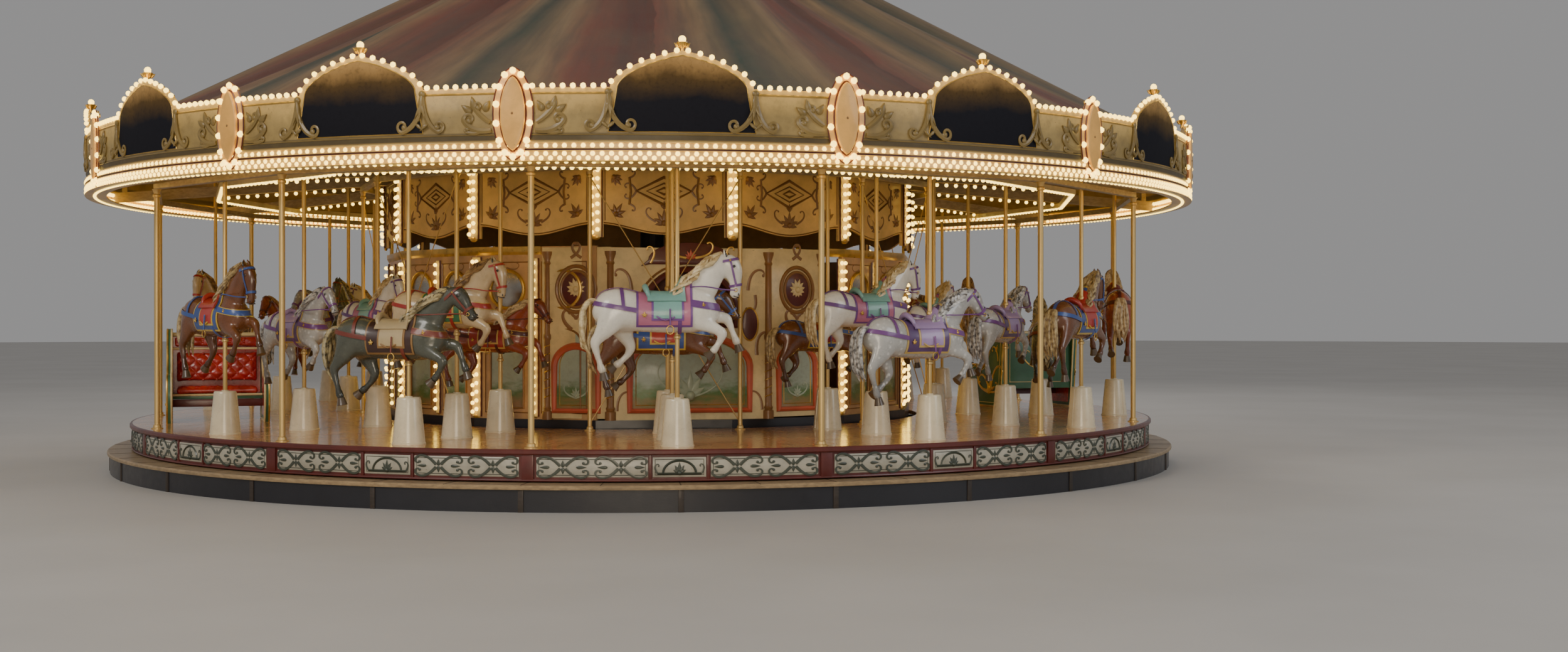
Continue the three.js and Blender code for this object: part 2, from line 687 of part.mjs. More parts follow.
CHARIOT_RANKS.forEach((rank, i) => {
  const place = new THREE.Group();
  place.rotation.z = rad(ranks[rank]);
  const seat = new THREE.Group();
  seat.position.set(0, -CHARIOT_R, DECK_Z + GAP);
  addPiece(seat, `chariot_${i + 1}`, chariotBody(), greenPaint);
  addPiece(seat, `chariot_cushion_${i + 1}`, chariotCushion(), redHide);
  place.add(seat);
  carousel.add(place);
});

const rowNames = ["outer", "middle", "inner"];
horseRanks.forEach(({ deg, i }, order) => {
  const place = new THREE.Group();
  place.rotation.z = rad(deg);
  rowNames.forEach((row, k) => {
    const lift = Math.round(THROW * CRANK_TURNS[i]) * (k === 1 ? -1 : 1);
    const tucked = (i + k) % 2 === 0;
    const figure = addPiece(
      place,
      `horse_${row}_${order + 1}`,
      horse(tucked, ROW_SCALE[k]),
      horseColours[(COATS[i] + 2 * k) % horseColours.length],
    );
    figure.position.set(0, -ROW_R[k], HORSE_MID_Z + lift);
  });
  carousel.add(place);
});

export default carousel;
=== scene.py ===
import math
import random

import bmesh
import bpy
from mathutils import Matrix, Vector


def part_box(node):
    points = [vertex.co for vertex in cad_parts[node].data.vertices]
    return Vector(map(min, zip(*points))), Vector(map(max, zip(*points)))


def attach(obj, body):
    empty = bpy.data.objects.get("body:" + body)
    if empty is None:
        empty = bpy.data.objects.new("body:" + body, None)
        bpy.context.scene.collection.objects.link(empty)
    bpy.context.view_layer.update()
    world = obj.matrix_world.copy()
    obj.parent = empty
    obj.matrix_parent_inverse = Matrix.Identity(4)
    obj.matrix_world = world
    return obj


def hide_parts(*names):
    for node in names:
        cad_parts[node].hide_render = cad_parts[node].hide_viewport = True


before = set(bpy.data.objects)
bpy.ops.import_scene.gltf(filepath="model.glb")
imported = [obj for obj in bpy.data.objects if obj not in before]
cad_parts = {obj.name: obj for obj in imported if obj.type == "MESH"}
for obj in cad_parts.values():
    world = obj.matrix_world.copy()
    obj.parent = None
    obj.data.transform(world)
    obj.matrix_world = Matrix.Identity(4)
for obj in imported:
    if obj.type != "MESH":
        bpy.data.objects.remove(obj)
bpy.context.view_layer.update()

bl_info = {
    "name": "Fairground Carousel",
    "version": (1, 0, 0),
    "blender": (4, 5, 0),
    "location": "View3D > Sidebar > Carousel",
    "description": "Dresses the frame of a three-abreast carousel with its boards, lamps, horses and cloth",
    "category": "Add Mesh",
}

# Sizes in metres, as in the frame. A bearing is counted from the front (-Y) towards the right (+X).
SECTIONS = 14
STEP_DEG = 360 / SECTIONS
HALF_STEP = math.radians(STEP_DEG / 2)
BOUNDARY_DEG = 15.16
RANK_DEG = BOUNDARY_DEG - STEP_DEG / 2
BOUNDARIES = [BOUNDARY_DEG + i * STEP_DEG for i in range(SECTIONS)]
RANKS = [RANK_DEG + i * STEP_DEG for i in range(SECTIONS)]
CHARIOT_RANKS = (4, 11)
HORSE_RANKS = [i for i in range(SECTIONS) if i not in CHARIOT_RANKS]
COATS = (0, 4, 2, 5, 0, 3, 1, 0, 5, 4, 3, 0, 2, 1)
TURNTABLE = "turntable"
GROUND = "ground"

CORNICE_R = 6.68
BOARD_R = 6.662
BOARD_THICK = 0.04
BOARD_HALF = CORNICE_R * HALF_STEP
CORNICE_LOW = 3.14
CORNICE_TOP = 3.775
CREST_HALF = 0.64
CREST_RISE = 0.33
LUNETTE_LOW = 3.385
RAIL_R = 6.686
RAIL_INNER_R = 6.45
RAIL_LAMPS_Z = (3.262, 3.192, 3.152)
INSIDE_LAMPS_Z = (3.178, 3.250)
SOFFIT_R = 6.575
SHIELD_Z = 3.545
SHIELD_HALF = 0.185
SHIELD_TALL = 0.41

DECK_R = 6.21
DECK_INNER_R = 3.36
DECK_Z = 0.55
STEP_R = 6.45
STEP_INNER_R = 5.96
STEP_Z = 0.245
OUTER_POLE_R = 6.05
INNER_POLE_R = 3.6
LIGHT_RING_R = 5.35
ROW_R = (5.8, 4.9, 4.0)
ROW_SCALE = (1, 0.92, 0.82)
ROW_NAMES = ("outer", "middle", "inner")
CHARIOT_R = 5.25
CONE_TOP_Z = 0.995
# What stands on a solid stays this far from it
GAP = 0.0003
# Flat strips that a round ring is made of
ROUND = SECTIONS * 12

CANOPY_R = 6.55
CANOPY_EDGE_Z = 3.715
CANOPY_PEAK_Z = 7.08
CANOPY_HOLE_R = 0.33
SAG_START_R = 0.48
CANOPY_SLOPE = (CANOPY_PEAK_Z - CANOPY_EDGE_Z) / (CANOPY_R - CANOPY_HOLE_R)

DRUM_R = 3.33
DRUM_LOW = 2.65
DRUM_TOP = 3.4
DRUM_FACE = DRUM_R * math.cos(HALF_STEP)
DRUM_HALF = DRUM_R * math.sin(HALF_STEP)
HOUSE_R = 3.285
HOUSE_LOW = 0.64
HOUSE_TOP = 2.53
PANEL_X = 0.345
MEDALLION_Z = 2.06
PANEL_LOW = 0.74
ORGAN_DEG = 7.5
ORGAN_REACH_DEG = 29.6
ORGAN_HALF = 0.87
ORGAN_FACE = 3.17
WING_X = 1.58
WING_Y = 2.845


def sweep_z(radius):
    """The height of the sweeps' underside."""
    return 3.16 + 0.075 * (6.6 - radius)


def canopy_z(radius):
    return CANOPY_EDGE_Z + CANOPY_SLOPE * (CANOPY_R - radius)


# Settings that a user would change


def colour(name, description, default):
    return bpy.props.FloatVectorProperty(
        name=name, description=description, default=default, subtype="COLOR", size=3, min=0, max=1
    )


def length(name, description, default):
    return bpy.props.FloatProperty(
        name=name, description=description, default=default, unit="LENGTH", min=0.001
    )


class CarouselSizes(bpy.types.PropertyGroup):
    bulb: length("Bulb", "Radius of the lamps' bulbs", 0.024)
    crest_bulb: length("Crest bulb", "Radius of the lamp on each crest", 0.036)
    lamp_pitch: length("Lamp pitch", "Distance between the lamps along the boards' top", 0.09)
    rail_pitch: length("Rail pitch", "Distance between the lamps of the rail", 0.085)
    strip_pitch: length("Strip pitch", "Distance between the lamps along the sweeps", 0.12)
    canopy_sag: length("Canopy sag", "How far the canopy hangs between two rafters", 0.16)
    figure_grain: length("Figure grain", "Size of the faces that a horse is carved with", 0.019)
    glow: bpy.props.FloatProperty(
        name="Glow", description="Brightness of the lamps", default=5.0, min=0
    )


class CarouselColours(bpy.types.PropertyGroup):
    cream: colour("Cream", "Paint of the boards and the organ", (0.80, 0.64, 0.33))
    orange: colour("Orange", "Paint of the shields", (0.95, 0.50, 0.12))
    ochre: colour("Ochre", "Paint of the drum's valance", (0.92, 0.60, 0.20))
    board: colour("Board", "Paint of the rounding boards", (0.36, 0.25, 0.085))
    # Bright is painted lamplight: the lamps' gold glow, painted onto the boards by their lamps and onto the
    # cornice rail
    bright: colour("Bright", "Paint of the boards along their lamps", (0.86, 0.56, 0.17))
    panel: colour("Panel", "Paint of the fascia panels", (0.47, 0.44, 0.35))
    tan: colour("Tan", "Paint of the house panels", (0.58, 0.34, 0.14))
    oxblood: colour("Oxblood", "Dark red edges and rims", (0.12, 0.017, 0.012))
    coral: colour("Coral", "Arch bands of the organ", (0.62, 0.12, 0.06))
    olive: colour("Olive", "Scrolls on the boards", (0.26, 0.175, 0.05))
    umber: colour("Umber", "Brown scrolls on the valance and the organ", (0.29, 0.14, 0.045))
    # Night also paints the step's skirt, as painted shade
    night: colour("Night", "Dark lunettes and the plinth", (0.012, 0.012, 0.017))
    green: colour("Green", "Paint of the chariots", (0.045, 0.15, 0.075))
    sage: colour("Sage", "Pale green panels", (0.42, 0.50, 0.36))
    gold: colour("Gold", "Gilded trim", (0.78, 0.50, 0.13))
    brass: colour("Brass", "Poles and rails", (0.70, 0.49, 0.19))
    deck: colour("Deck", "Varnished boards of the deck", (0.62, 0.30, 0.10))
    cone: colour("Cone", "Covers round the horses' poles", (0.76, 0.66, 0.45))
    timber: colour("Timber", "Sweeps and rafters", (0.46, 0.36, 0.21))
    hide: colour("Hide", "Buttoned seats of the chariots", (0.46, 0.020, 0.014))
    lamp: colour("Lamp", "Light of the bulbs", (1.0, 0.68, 0.13))


# Places


def at_bearing(deg, radius=0.0, z=0.0):
    """The place of what faces outwards at a bearing: x the way the ride turns, y inwards, z up."""
    return Matrix.Rotation(math.radians(deg), 4, "Z") @ Matrix.Translation((0, -radius, z))


def moved(x=0.0, y=0.0, z=0.0):
    return Matrix.Translation((x, y, z))


def turned(degrees, axis):
    return Matrix.Rotation(math.radians(degrees), 4, axis)


def sized(x=1.0, y=1.0, z=1.0):
    return Matrix.Diagonal((x, y, z, 1))


def spaced(low, high, pitch):
    """Evenly spaced values from low to high, about a pitch apart."""
    count = max(1, round((high - low) / pitch))
    return [low + (high - low) * i / count for i in range(count + 1)]


# Shapes: each call gives a mesh that pieces take copies of


def as_mesh(bm):
    mesh = bpy.data.meshes.new("shape")
    bm.to_mesh(mesh)
    bm.free()
    return mesh


def outward(bm):
    """A mesh whose faces all point outwards."""
    bmesh.ops.recalc_face_normals(bm, faces=bm.faces[:])
    return as_mesh(bm)


def placed(shape, place):
    shape.transform(place)
    return shape


def slab(outline, thick, bevel=0.0, segments=2):
    """A plate whose outline is in [across, z], its back on the plane y=0 and its face outwards."""
    bm = bmesh.new()
    face = bm.faces.new([bm.verts.new((x, 0, z)) for x, z in outline])
    made = bmesh.ops.extrude_face_region(bm, geom=[face])["geom"]
    front = [part for part in made if isinstance(part, bmesh.types.BMVert)]
    bmesh.ops.translate(bm, verts=front, vec=(0, -thick, 0))
    if bevel:
        rim = [e for e in bm.edges if all(v.co.y < -thick / 2 for v in e.verts)]
        bmesh.ops.bevel(
            bm, geom=rim, offset=bevel, segments=segments, profile=0.5, affect="EDGES", material=-1
        )
    return outward(bm)


def board(width, tall, thick, bevel=0.0):
    """A plate with square corners, centred on the origin."""
    x, z = width / 2, tall / 2
    return slab([(-x, -z), (x, -z), (x, z), (-x, z)], thick, bevel)


def block(size_x, size_y, size_z, bevel=0.0):
    bm = bmesh.new()
    bmesh.ops.create_cube(bm, size=1, matrix=sized(size_x, size_y, size_z))
    if bevel:
        bmesh.ops.bevel(
            bm, geom=bm.edges[:], offset=bevel, segments=2, profile=0.5, affect="EDGES", material=-1
        )
    return as_mesh(bm)


def spun(profile, steps, closed=False, start_deg=0.0):
    """A shape turned about Z from a profile of [radius, z] points."""
    bm = bmesh.new()
    verts = [bm.verts.new((r, 0, z)) for r, z in profile]
    ends = list(zip(verts, verts[1:]))
    if closed:
        ends.append((verts[-1], verts[0]))
    edges = [bm.edges.new(pair) for pair in ends]
    bmesh.ops.spin(
        bm, geom=verts + edges, cent=(0, 0, 0), axis=(0, 0, 1), angle=2 * math.pi, steps=steps,
        use_merge=True,
    )
    bmesh.ops.remove_doubles(bm, verts=bm.verts[:], dist=1e-5)
    bmesh.ops.recalc_face_normals(bm, faces=bm.faces[:])
    bmesh.ops.rotate(bm, verts=bm.verts[:], matrix=Matrix.Rotation(math.radians(start_deg), 3, "Z"))
    return as_mesh(bm)


def ring(profile, steps=SECTIONS):
    """A closed ring round the axis whose corners stand on the section boundaries."""
    return spun(profile, steps, closed=True, start_deg=BOUNDARY_DEG - 90)


def tube(points, radii, sides=8, cyclic=False):
    """A round bar along points, its radius given for each point or once for all."""
    if not hasattr(radii, "__len__"):
        radii = [radii] * len(points)
    curve = bpy.data.curves.new("line", "CURVE")
    curve.dimensions = "3D"
    curve.bevel_depth = 1
    curve.bevel_resolution = (sides - 4) // 2
    curve.use_fill_caps = not cyclic
    spline = curve.splines.new("POLY")
    spline.points.add(len(points) - 1)
    for point, place, radius in zip(spline.points, points, radii):
        point.co = (*place, 1)
        point.radius = radius
    spline.use_cyclic_u = cyclic
    line = bpy.data.objects.new("line", curve)
    mesh = bpy.data.meshes.new_from_object(line)
    bpy.data.objects.remove(line)
    bpy.data.curves.remove(curve)
    mesh.materials.clear()
    bm = bmesh.new()
    bm.from_mesh(mesh)
    bpy.data.meshes.remove(mesh)
    bmesh.ops.remove_doubles(bm, verts=bm.verts[:], dist=1e-6)
    return outward(bm)


def ball(radius, u=10, v=6):
    bm = bmesh.new()
    bmesh.ops.create_uvsphere(bm, u_segments=u, v_segments=v, radius=radius)
    return as_mesh(bm)


def curl(start, heading_deg, run, turns, steps=22):
    """Points [x, z] of a line that sets out along a heading and curls ever tighter."""
    x, z = start
    heading = math.radians(heading_deg)
    points = [(x, z)]
    for i in range(steps):
        share = (i + 0.5) / steps
        heading += math.radians(360 * turns) * 2 * share / steps
        pace = run / steps * 1.6 * (1 - 0.75 * share)
        x += pace * math.cos(heading)
        z += pace * math.sin(heading)
        points.append((x, z))
    return points


def scroll(start, heading_deg, run, turns, thick=0.02, depth=0.6, steps=22):
    """A carved volute in the plane y=0, thick where it starts and ending in a small eye."""
    points = curl(start, heading_deg, run, turns, steps)
    radii = [thick * (1 - 0.62 * i / steps) for i in range(steps + 1)]
    shape = tube([(x, 0, z) for x, z in points], radii, 6)
    eye = placed(ball(thick * 0.85, 6, 4), moved(points[-1][0], 0, points[-1][1]))
    return welded([shape, eye], sized(1, depth, 1))


def leaf(long, wide, thick):
    """A pointed leaf that starts at the origin and runs up z, its face outwards."""
    bm = bmesh.new()
    bmesh.ops.create_uvsphere(bm, u_segments=8, v_segments=6, radius=1)
    for vert in bm.verts:
        share = (vert.co.z + 1) / 2
        narrow = (1 - share) ** 0.625 * 1.25
        vert.co = Vector((vert.co.x * wide / 2 * narrow, vert.co.y * thick, share * long))
    return outward(bm)


def leaf_at(degrees, long, wide, thick, place):
    """A leaf leaning to the right by some degrees from a place."""
    return placed(leaf(long, wide, thick), moved(*place) @ turned(degrees, "Y"))


def fan(petals, spread_deg, long, wide, thick=0.006):
    """A palmette of leaves round the origin, the middle one the longest and upright."""
    parts = []
    for i in range(petals):
        share = 2 * i / (petals - 1) - 1
        petal = leaf(long * (1 - 0.35 * abs(share)), wide, thick)
        petal.transform(turned(spread_deg / 2 * share, "Y"))
        parts.append(petal)
    parts.append(ball(wide * 0.6, 8, 5))
    return welded(parts)


def welded(parts, place=Matrix()):
    """One mesh of several, placed. The parts are used up."""
    bm = bmesh.new()
    for part in parts:
        bm.from_mesh(part)
        bpy.data.meshes.remove(part)
    bmesh.ops.transform(bm, matrix=place, verts=bm.verts[:])
    if place.determinant() < 0:
        bmesh.ops.reverse_faces(bm, faces=bm.faces[:])
    return as_mesh(bm)


def both_sides(shape):
    """A mesh and its mirror image across x=0, as one."""
    bm = bmesh.new()
    bm.from_mesh(shape)
    made = bmesh.ops.duplicate(bm, geom=bm.verts[:] + bm.edges[:] + bm.faces[:])["geom"]
    verts = [part for part in made if isinstance(part, bmesh.types.BMVert)]
    faces = [part for part in made if isinstance(part, bmesh.types.BMFace)]
    bmesh.ops.scale(bm, verts=verts, vec=(-1, 1, 1))
    bmesh.ops.reverse_faces(bm, faces=faces)
    bpy.data.meshes.remove(shape)
    return as_mesh(bm)


def arch(half, rise, base, steps, start_deg=0, end_deg=180):
    """Points [x, z] of an elliptic arch, from right to left."""
    turns = [math.radians(start_deg + (end_deg - start_deg) * i / steps) for i in range(steps + 1)]
    return [(half * math.cos(turn), base + rise * math.sin(turn)) for turn in turns]


def oval(half, tall, z=0.0, steps=28, point=1.0):
    """Points [x, z] of an oval, more pointed at its ends the smaller point is."""
    points = []
    for i in range(steps):
        turn = 2 * math.pi * i / steps
        across = math.sin(turn)
        points.append((half * math.copysign(abs(across) ** (2 - point), across), z + tall * math.cos(turn)))
    return points


def towards(degrees):
    return Vector((math.cos(math.radians(degrees)), math.sin(math.radians(degrees))))


def hook(start, knee, eye, radius, thick, touch_deg=-90, turns=0.85):
    """A carved stem that bends round a knee, meets a small circle at touch_deg and curls round in it."""
    hand = math.copysign(1, eye[0] - start[0])
    touch = Vector(eye) + radius * towards(touch_deg)
    points = []
    for i in range(11):
        t = i / 10
        points.append(Vector(start) * (1 - t) ** 2 + 2 * t * (1 - t) * Vector(knee) + touch * t * t)
    for i in range(1, 17):
        share = i / 16
        degrees = touch_deg + hand * 360 * turns * share
        points.append(Vector(eye) + radius * (1 - 0.62 * share) * towards(degrees))
    radii = [thick * (0.55 + 0.45 * math.sin(math.pi * min(1, 0.15 + i / 16))) for i in range(len(points))]
    shape = tube([(x, 0, z) for x, z in points], radii, 6)
    bead = placed(ball(thick * 1.1, 8, 5), moved(points[-1][0], 0, points[-1][1]))
    return welded([shape, bead], sized(1, 0.6, 1))


def line_of(outline, radius, sides=6, y=0.0):
    """A round moulding along a closed outline in [across, z]."""
    return tube([(x, y, z) for x, z in outline], radius, sides, cyclic=True)


class Piece:
    """A piece of the carousel while it is being put together from shapes."""

    def __init__(self):
        self.bm = bmesh.new()
        self.materials = []

    def add(self, shape, finish, *places):
        """Adds a copy of a mesh at each place, in the finish of that name."""
        material = finishes[finish]
        if material not in self.materials:
            self.materials.append(material)
        index = self.materials.index(material)
        for place in places or (Matrix(),):
            copy = shape.copy()
            copy.transform(place)
            copy.polygons.foreach_set("material_index", [index] * len(copy.polygons))
            self.bm.from_mesh(copy)
            bpy.data.meshes.remove(copy)

    def bend(self, radius, pitch=0.12):
        """Cuts what was made flat into strips and bends it round the axis, its back on the radius."""
        reach = max(abs(vert.co.x) for vert in self.bm.verts)
        for x in spaced(-reach, reach, pitch)[1:-1]:
            bmesh.ops.bisect_plane(
                self.bm, geom=self.bm.verts[:] + self.bm.edges[:] + self.bm.faces[:], dist=1e-5,
                plane_co=(x, 0, 0), plane_no=(1, 0, 0),
            )
        for vert in self.bm.verts:
            x, y, z = vert.co
            turn = x / CORNICE_R
            vert.co = ((radius - y) * math.sin(turn), (y - radius) * math.cos(turn), z)
        self.bm.normal_update()

    def repeat(self, bearings):
        """Turns copies of what there is round the axis to the bearings."""
        shape = bpy.data.meshes.new("shape")
        self.bm.to_mesh(shape)
        self.bm.clear()
        for deg in bearings:
            copy = shape.copy()
            copy.transform(at_bearing(deg))
            self.bm.from_mesh(copy)
            bpy.data.meshes.remove(copy)
        bpy.data.meshes.remove(shape)

    def finish(self, name, body, slot, replaces=(), smooth_deg=38):
        """Makes the object, rides it on a body and hides the parts of the frame that it replaces."""
        mesh = bpy.data.meshes.new(name)
        self.bm.to_mesh(mesh)
        self.bm.free()
        return place_piece(name, mesh, self.materials, body, replaces, smooth_deg)


def place_piece(name, mesh, materials, body, replaces=(), smooth_deg=38):
    mesh.name = name
    for material in materials:
        mesh.materials.append(material)
    mesh.polygons.foreach_set("use_smooth", [True] * len(mesh.polygons))
    mesh.set_sharp_from_angle(angle=math.radians(smooth_deg))
    piece = bpy.data.objects.new(name, mesh)
    bpy.context.scene.collection.objects.link(piece)
    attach(piece, body)
    if replaces:
        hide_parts(*replaces)
    return piece


# Finishes


class Finish:
    """A material while its nodes are laid, with short calls for the nodes that the finishes share."""

    def __init__(self, name, attribute=None):
        self.material = bpy.data.materials.new(name)
        self.material.use_nodes = True
        self.nodes = self.material.node_tree.nodes
        self.links = self.material.node_tree.links
        self.shader = self.nodes["Principled BSDF"]
        if attribute:
            source = self.nodes.new("ShaderNodeAttribute")
            source.attribute_name = attribute
            self.place = source.outputs["Vector"]
        else:
            self.place = self.nodes.new("ShaderNodeTexCoord").outputs["Object"]

    def put(self, socket, value):
        if isinstance(value, bpy.types.NodeSocket):
            self.links.new(value, socket)
        else:
            socket.default_value = value

    def make(self, kind, inputs, **settings):
        node = self.nodes.new(kind)
        for key, value in settings.items():
            setattr(node, key, value)
        for key, value in inputs.items():
            self.put(node.inputs[key], value)
        return node

    def stretched(self, x, y, z):
        return self.make("ShaderNodeMapping", {"Vector": self.place, "Scale": (x, y, z)}).outputs[0]

    def noise(self, scale, detail=3.0, vector=None, rough=0.55):
        inputs = {"Vector": vector or self.place, "Scale": scale, "Detail": detail, "Roughness": rough}
        return self.make("ShaderNodeTexNoise", inputs).outputs["Fac"]

    def math(self, operation, a, b=0.0, c=0.0, clamp=False):
        inputs = {0: a, 1: b, 2: c}
        return self.make("ShaderNodeMath", inputs, operation=operation, use_clamp=clamp).outputs[0]

    def scaled(self, value, factor, offset=0.0, clamp=False):
        return self.math("MULTIPLY_ADD", value, factor, offset, clamp)

    def rise(self, value, start, run):
        """How far a value has come from a start over a run, from none to all of it."""
        return self.scaled(value, 1 / run, -start / run, clamp=True)

    def axes(self):
        return self.make("ShaderNodeSeparateXYZ", {0: self.place}).outputs

    def patches(self, scale, detail, start, end, share, rough=0.55):
        """A share that rises from none to all of itself in the patches of a noise."""
        return self.ramp(self.noise(scale, detail, rough=rough), [(start, 0.0), (end, share)])

    def ramp(self, value, stops):
        node = self.make("ShaderNodeValToRGB", {"Fac": value})
        elements = node.color_ramp.elements
        while len(elements) < len(stops):
            elements.new(0.5)
        for element, (position, tint) in zip(elements, stops):
            element.position = position
        for element, (position, tint) in zip(elements, stops):
            element.color = (*tint, 1) if hasattr(tint, "__len__") else (tint, tint, tint, 1)
        return node.outputs["Color"]

    def mix(self, share, a, b):
        node = self.nodes.new("ShaderNodeMix")
        node.data_type = "RGBA"
        for index, value in ((0, share), (6, a), (7, b)):
            if index and not isinstance(value, bpy.types.NodeSocket):
                value = (*value, 1)
            self.put(node.inputs[index], value)
        return node.outputs[2]

    def bump(self, height, distance, strength=1.0):
        inputs = {"Height": height, "Distance": distance, "Strength": strength}
        normal = self.make("ShaderNodeBump", inputs).outputs[0]
        self.put(self.shader.inputs["Normal"], normal)

    def surface(self, base, rough, metal=0.0, coat=0.0):
        self.put(self.shader.inputs["Base Color"], base)
        self.put(self.shader.inputs["Roughness"], rough)
        self.put(self.shader.inputs["Metallic"], metal)
        self.put(self.shader.inputs["Coat Weight"], coat)
        self.put(self.shader.inputs["Coat Roughness"], 0.12)
        return self.material


def shade(tint, share):
    return tuple(min(1.0, c * share) for c in tint)


def painted(name, tint, rough=0.42, wear=0.5, coat=0.25, attribute=None):
    """Old gloss paint on timber: uneven tone, brush marks, grime and small chips."""
    f = Finish(name, attribute)
    tone = f.ramp(f.noise(1.6, 4), [(0.3, shade(tint, 0.74)), (0.7, shade(tint, 1.08))])
    grime = f.patches(7, 5, 0.42, 0.78, wear, 0.62)
    tone = f.mix(grime, tone, shade(tint, 0.42))
    chips = f.patches(46, 3, 0.70, 0.735, wear)
    tone = f.mix(chips, tone, shade(tint, 0.30))
    brush = f.noise(30, 2, f.stretched(1, 1, 9))
    f.bump(f.math("ADD", brush, f.math("MULTIPLY", f.noise(46, 3), 0.7)), 0.0012, 0.5)
    rough_map = f.scaled(f.noise(12, 3), 0.22, rough - 0.1)
    return f.surface(tone, rough_map, 0.0, coat)


def gilded(name, tint, rough=0.3, metal=0.75):
    """Gold paint or leaf, uneven in tone, with small dark brown patches."""
    f = Finish(name)
    tone = f.ramp(f.noise(5, 4), [(0.32, shade(tint, 0.55)), (0.62, tint)])
    tone = f.mix(f.patches(38, 3, 0.66, 0.74, 0.7), tone, shade(tint, 0.22))
    f.bump(f.noise(90, 2), 0.0008, 0.45)
    return f.surface(tone, f.scaled(f.noise(20, 2), 0.3, rough - 0.12), metal)


def brass_tube(name, tint):
    """Brass that hands have rubbed satin, with dull patches and faint draw lines along it."""
    f = Finish(name)
    tone = f.ramp(f.noise(1.2, 2), [(0.3, shade(tint, 0.86)), (0.7, tint)])
    tone = f.mix(f.patches(14, 4, 0.6, 0.85, 0.25), tone, shade(tint, 0.5))
    f.bump(f.noise(60, 2, f.stretched(1, 1, 0.02)), 0.0001, 0.08)
    smear = f.scaled(f.noise(3, 3), 0.14, 0.36)
    return f.surface(tone, smear, 0.65, 0.15)


def bearing_of(f):
    """The bearing of a point about the axis, in turns from 0 to 1, and its radius."""
    x, y, _ = f.axes()
    turn = f.math("ARCTAN2", x, f.math("MULTIPLY", y, -1.0))
    share = f.math("FRACT", f.scaled(turn, 1 / (2 * math.pi), 1.0))
    radius = f.math("SQRT", f.math("ADD", f.math("MULTIPLY", x, x), f.math("MULTIPLY", y, y)))
    return share, radius


def board_paint(name, tint, bright):
    """Rubbed, dusty olive paint, with gold painted lamplight along its top and bottom lamps and painted
    shade under the lunettes.
    """
    f = Finish(name)
    height = f.axes()[2]
    wave = f.scaled(f.noise(2.6, 4), 0.16, -0.08)
    # Painted lamplight: top and low mark where the boards turn to the bright gold, up towards the lamps
    # along the top and down by the rail's lamps
    top = f.rise(f.math("ADD", height, wave), 3.53, 0.24)
    low = f.rise(height, 3.315, -0.03)
    # Painted shade: foot marks a dark band just under the lunettes, above the lamplit bottom
    foot = f.rise(height, LUNETTE_LOW, -0.02)
    tone = f.ramp(f.noise(1.7, 4), [(0.3, shade(tint, 0.7)), (0.7, shade(tint, 1.15))])
    tone = f.mix(foot, tone, shade(tint, 0.22))
    tone = f.mix(f.math("MAXIMUM", f.math("MULTIPLY", top, 0.85), low), tone, bright)
    grime = f.patches(8, 5, 0.45, 0.8, 0.55, 0.65)
    tone = f.mix(grime, tone, shade(tint, 0.35))
    chips = f.patches(44, 3, 0.68, 0.72, 0.5)
    tone = f.mix(chips, tone, shade(tint, 0.25))
    f.bump(f.math("ADD", f.noise(28, 2, f.stretched(1, 1, 8)), chips), 0.0012, 0.4)
    return f.surface(tone, f.scaled(f.noise(11, 3), 0.25, 0.45), 0.0, 0.1)


def deck_boards(name, tint):
    """Varnished boards laid outwards from the axis, with dark joints and a bright coat."""
    f = Finish(name)
    share, radius = bearing_of(f)
    boards = f.math("MULTIPLY", share, SECTIONS * 18.0)
    joint = f.math("PINGPONG", boards, 0.5)
    number = f.math("FLOOR", boards)
    along = f.make("ShaderNodeCombineXYZ", {0: number, 1: f.math("MULTIPLY", radius, 0.5)}).outputs[0]
    plank = f.noise(1.7, 1, along)
    grain_at = f.make("ShaderNodeCombineXYZ", {0: f.math("MULTIPLY", boards, 9.0), 1: radius}).outputs[0]
    grain = f.noise(1.6, 5, grain_at)
    tone = f.ramp(plank, [(0.3, shade(tint, 0.72)), (0.7, shade(tint, 1.25))])
    tone = f.mix(f.ramp(grain, [(0.45, 0.0), (0.7, 0.6)]), tone, shade(tint, 0.45))
    gap = f.ramp(joint, [(0.0, 1.0), (0.035, 0.0)])
    tone = f.mix(gap, tone, shade(tint, 0.08))
    scuff = f.patches(3.2, 6, 0.45, 0.75, 0.45, 0.7)
    tone = f.mix(scuff, tone, shade(tint, 1.7))
    f.bump(f.math("SUBTRACT", f.math("MULTIPLY", grain, 0.25), gap), 0.002, 0.6)
    return f.surface(tone, f.scaled(f.noise(5, 4), 0.3, 0.1), 0.0, 0.7)


def sawn_timber(name, tint, rough=0.6):
    f = Finish(name)
    grain = f.noise(14, 5, f.stretched(1, 1, 3), 0.65)
    tone = f.ramp(grain, [(0.3, shade(tint, 0.6)), (0.7, shade(tint, 1.1))])
    tone = f.mix(f.patches(2.2, 5, 0.45, 0.8, 0.6), tone, shade(tint, 0.4))
    f.bump(grain, 0.002, 0.5)
    return f.surface(tone, rough, 0.0, 0.1)


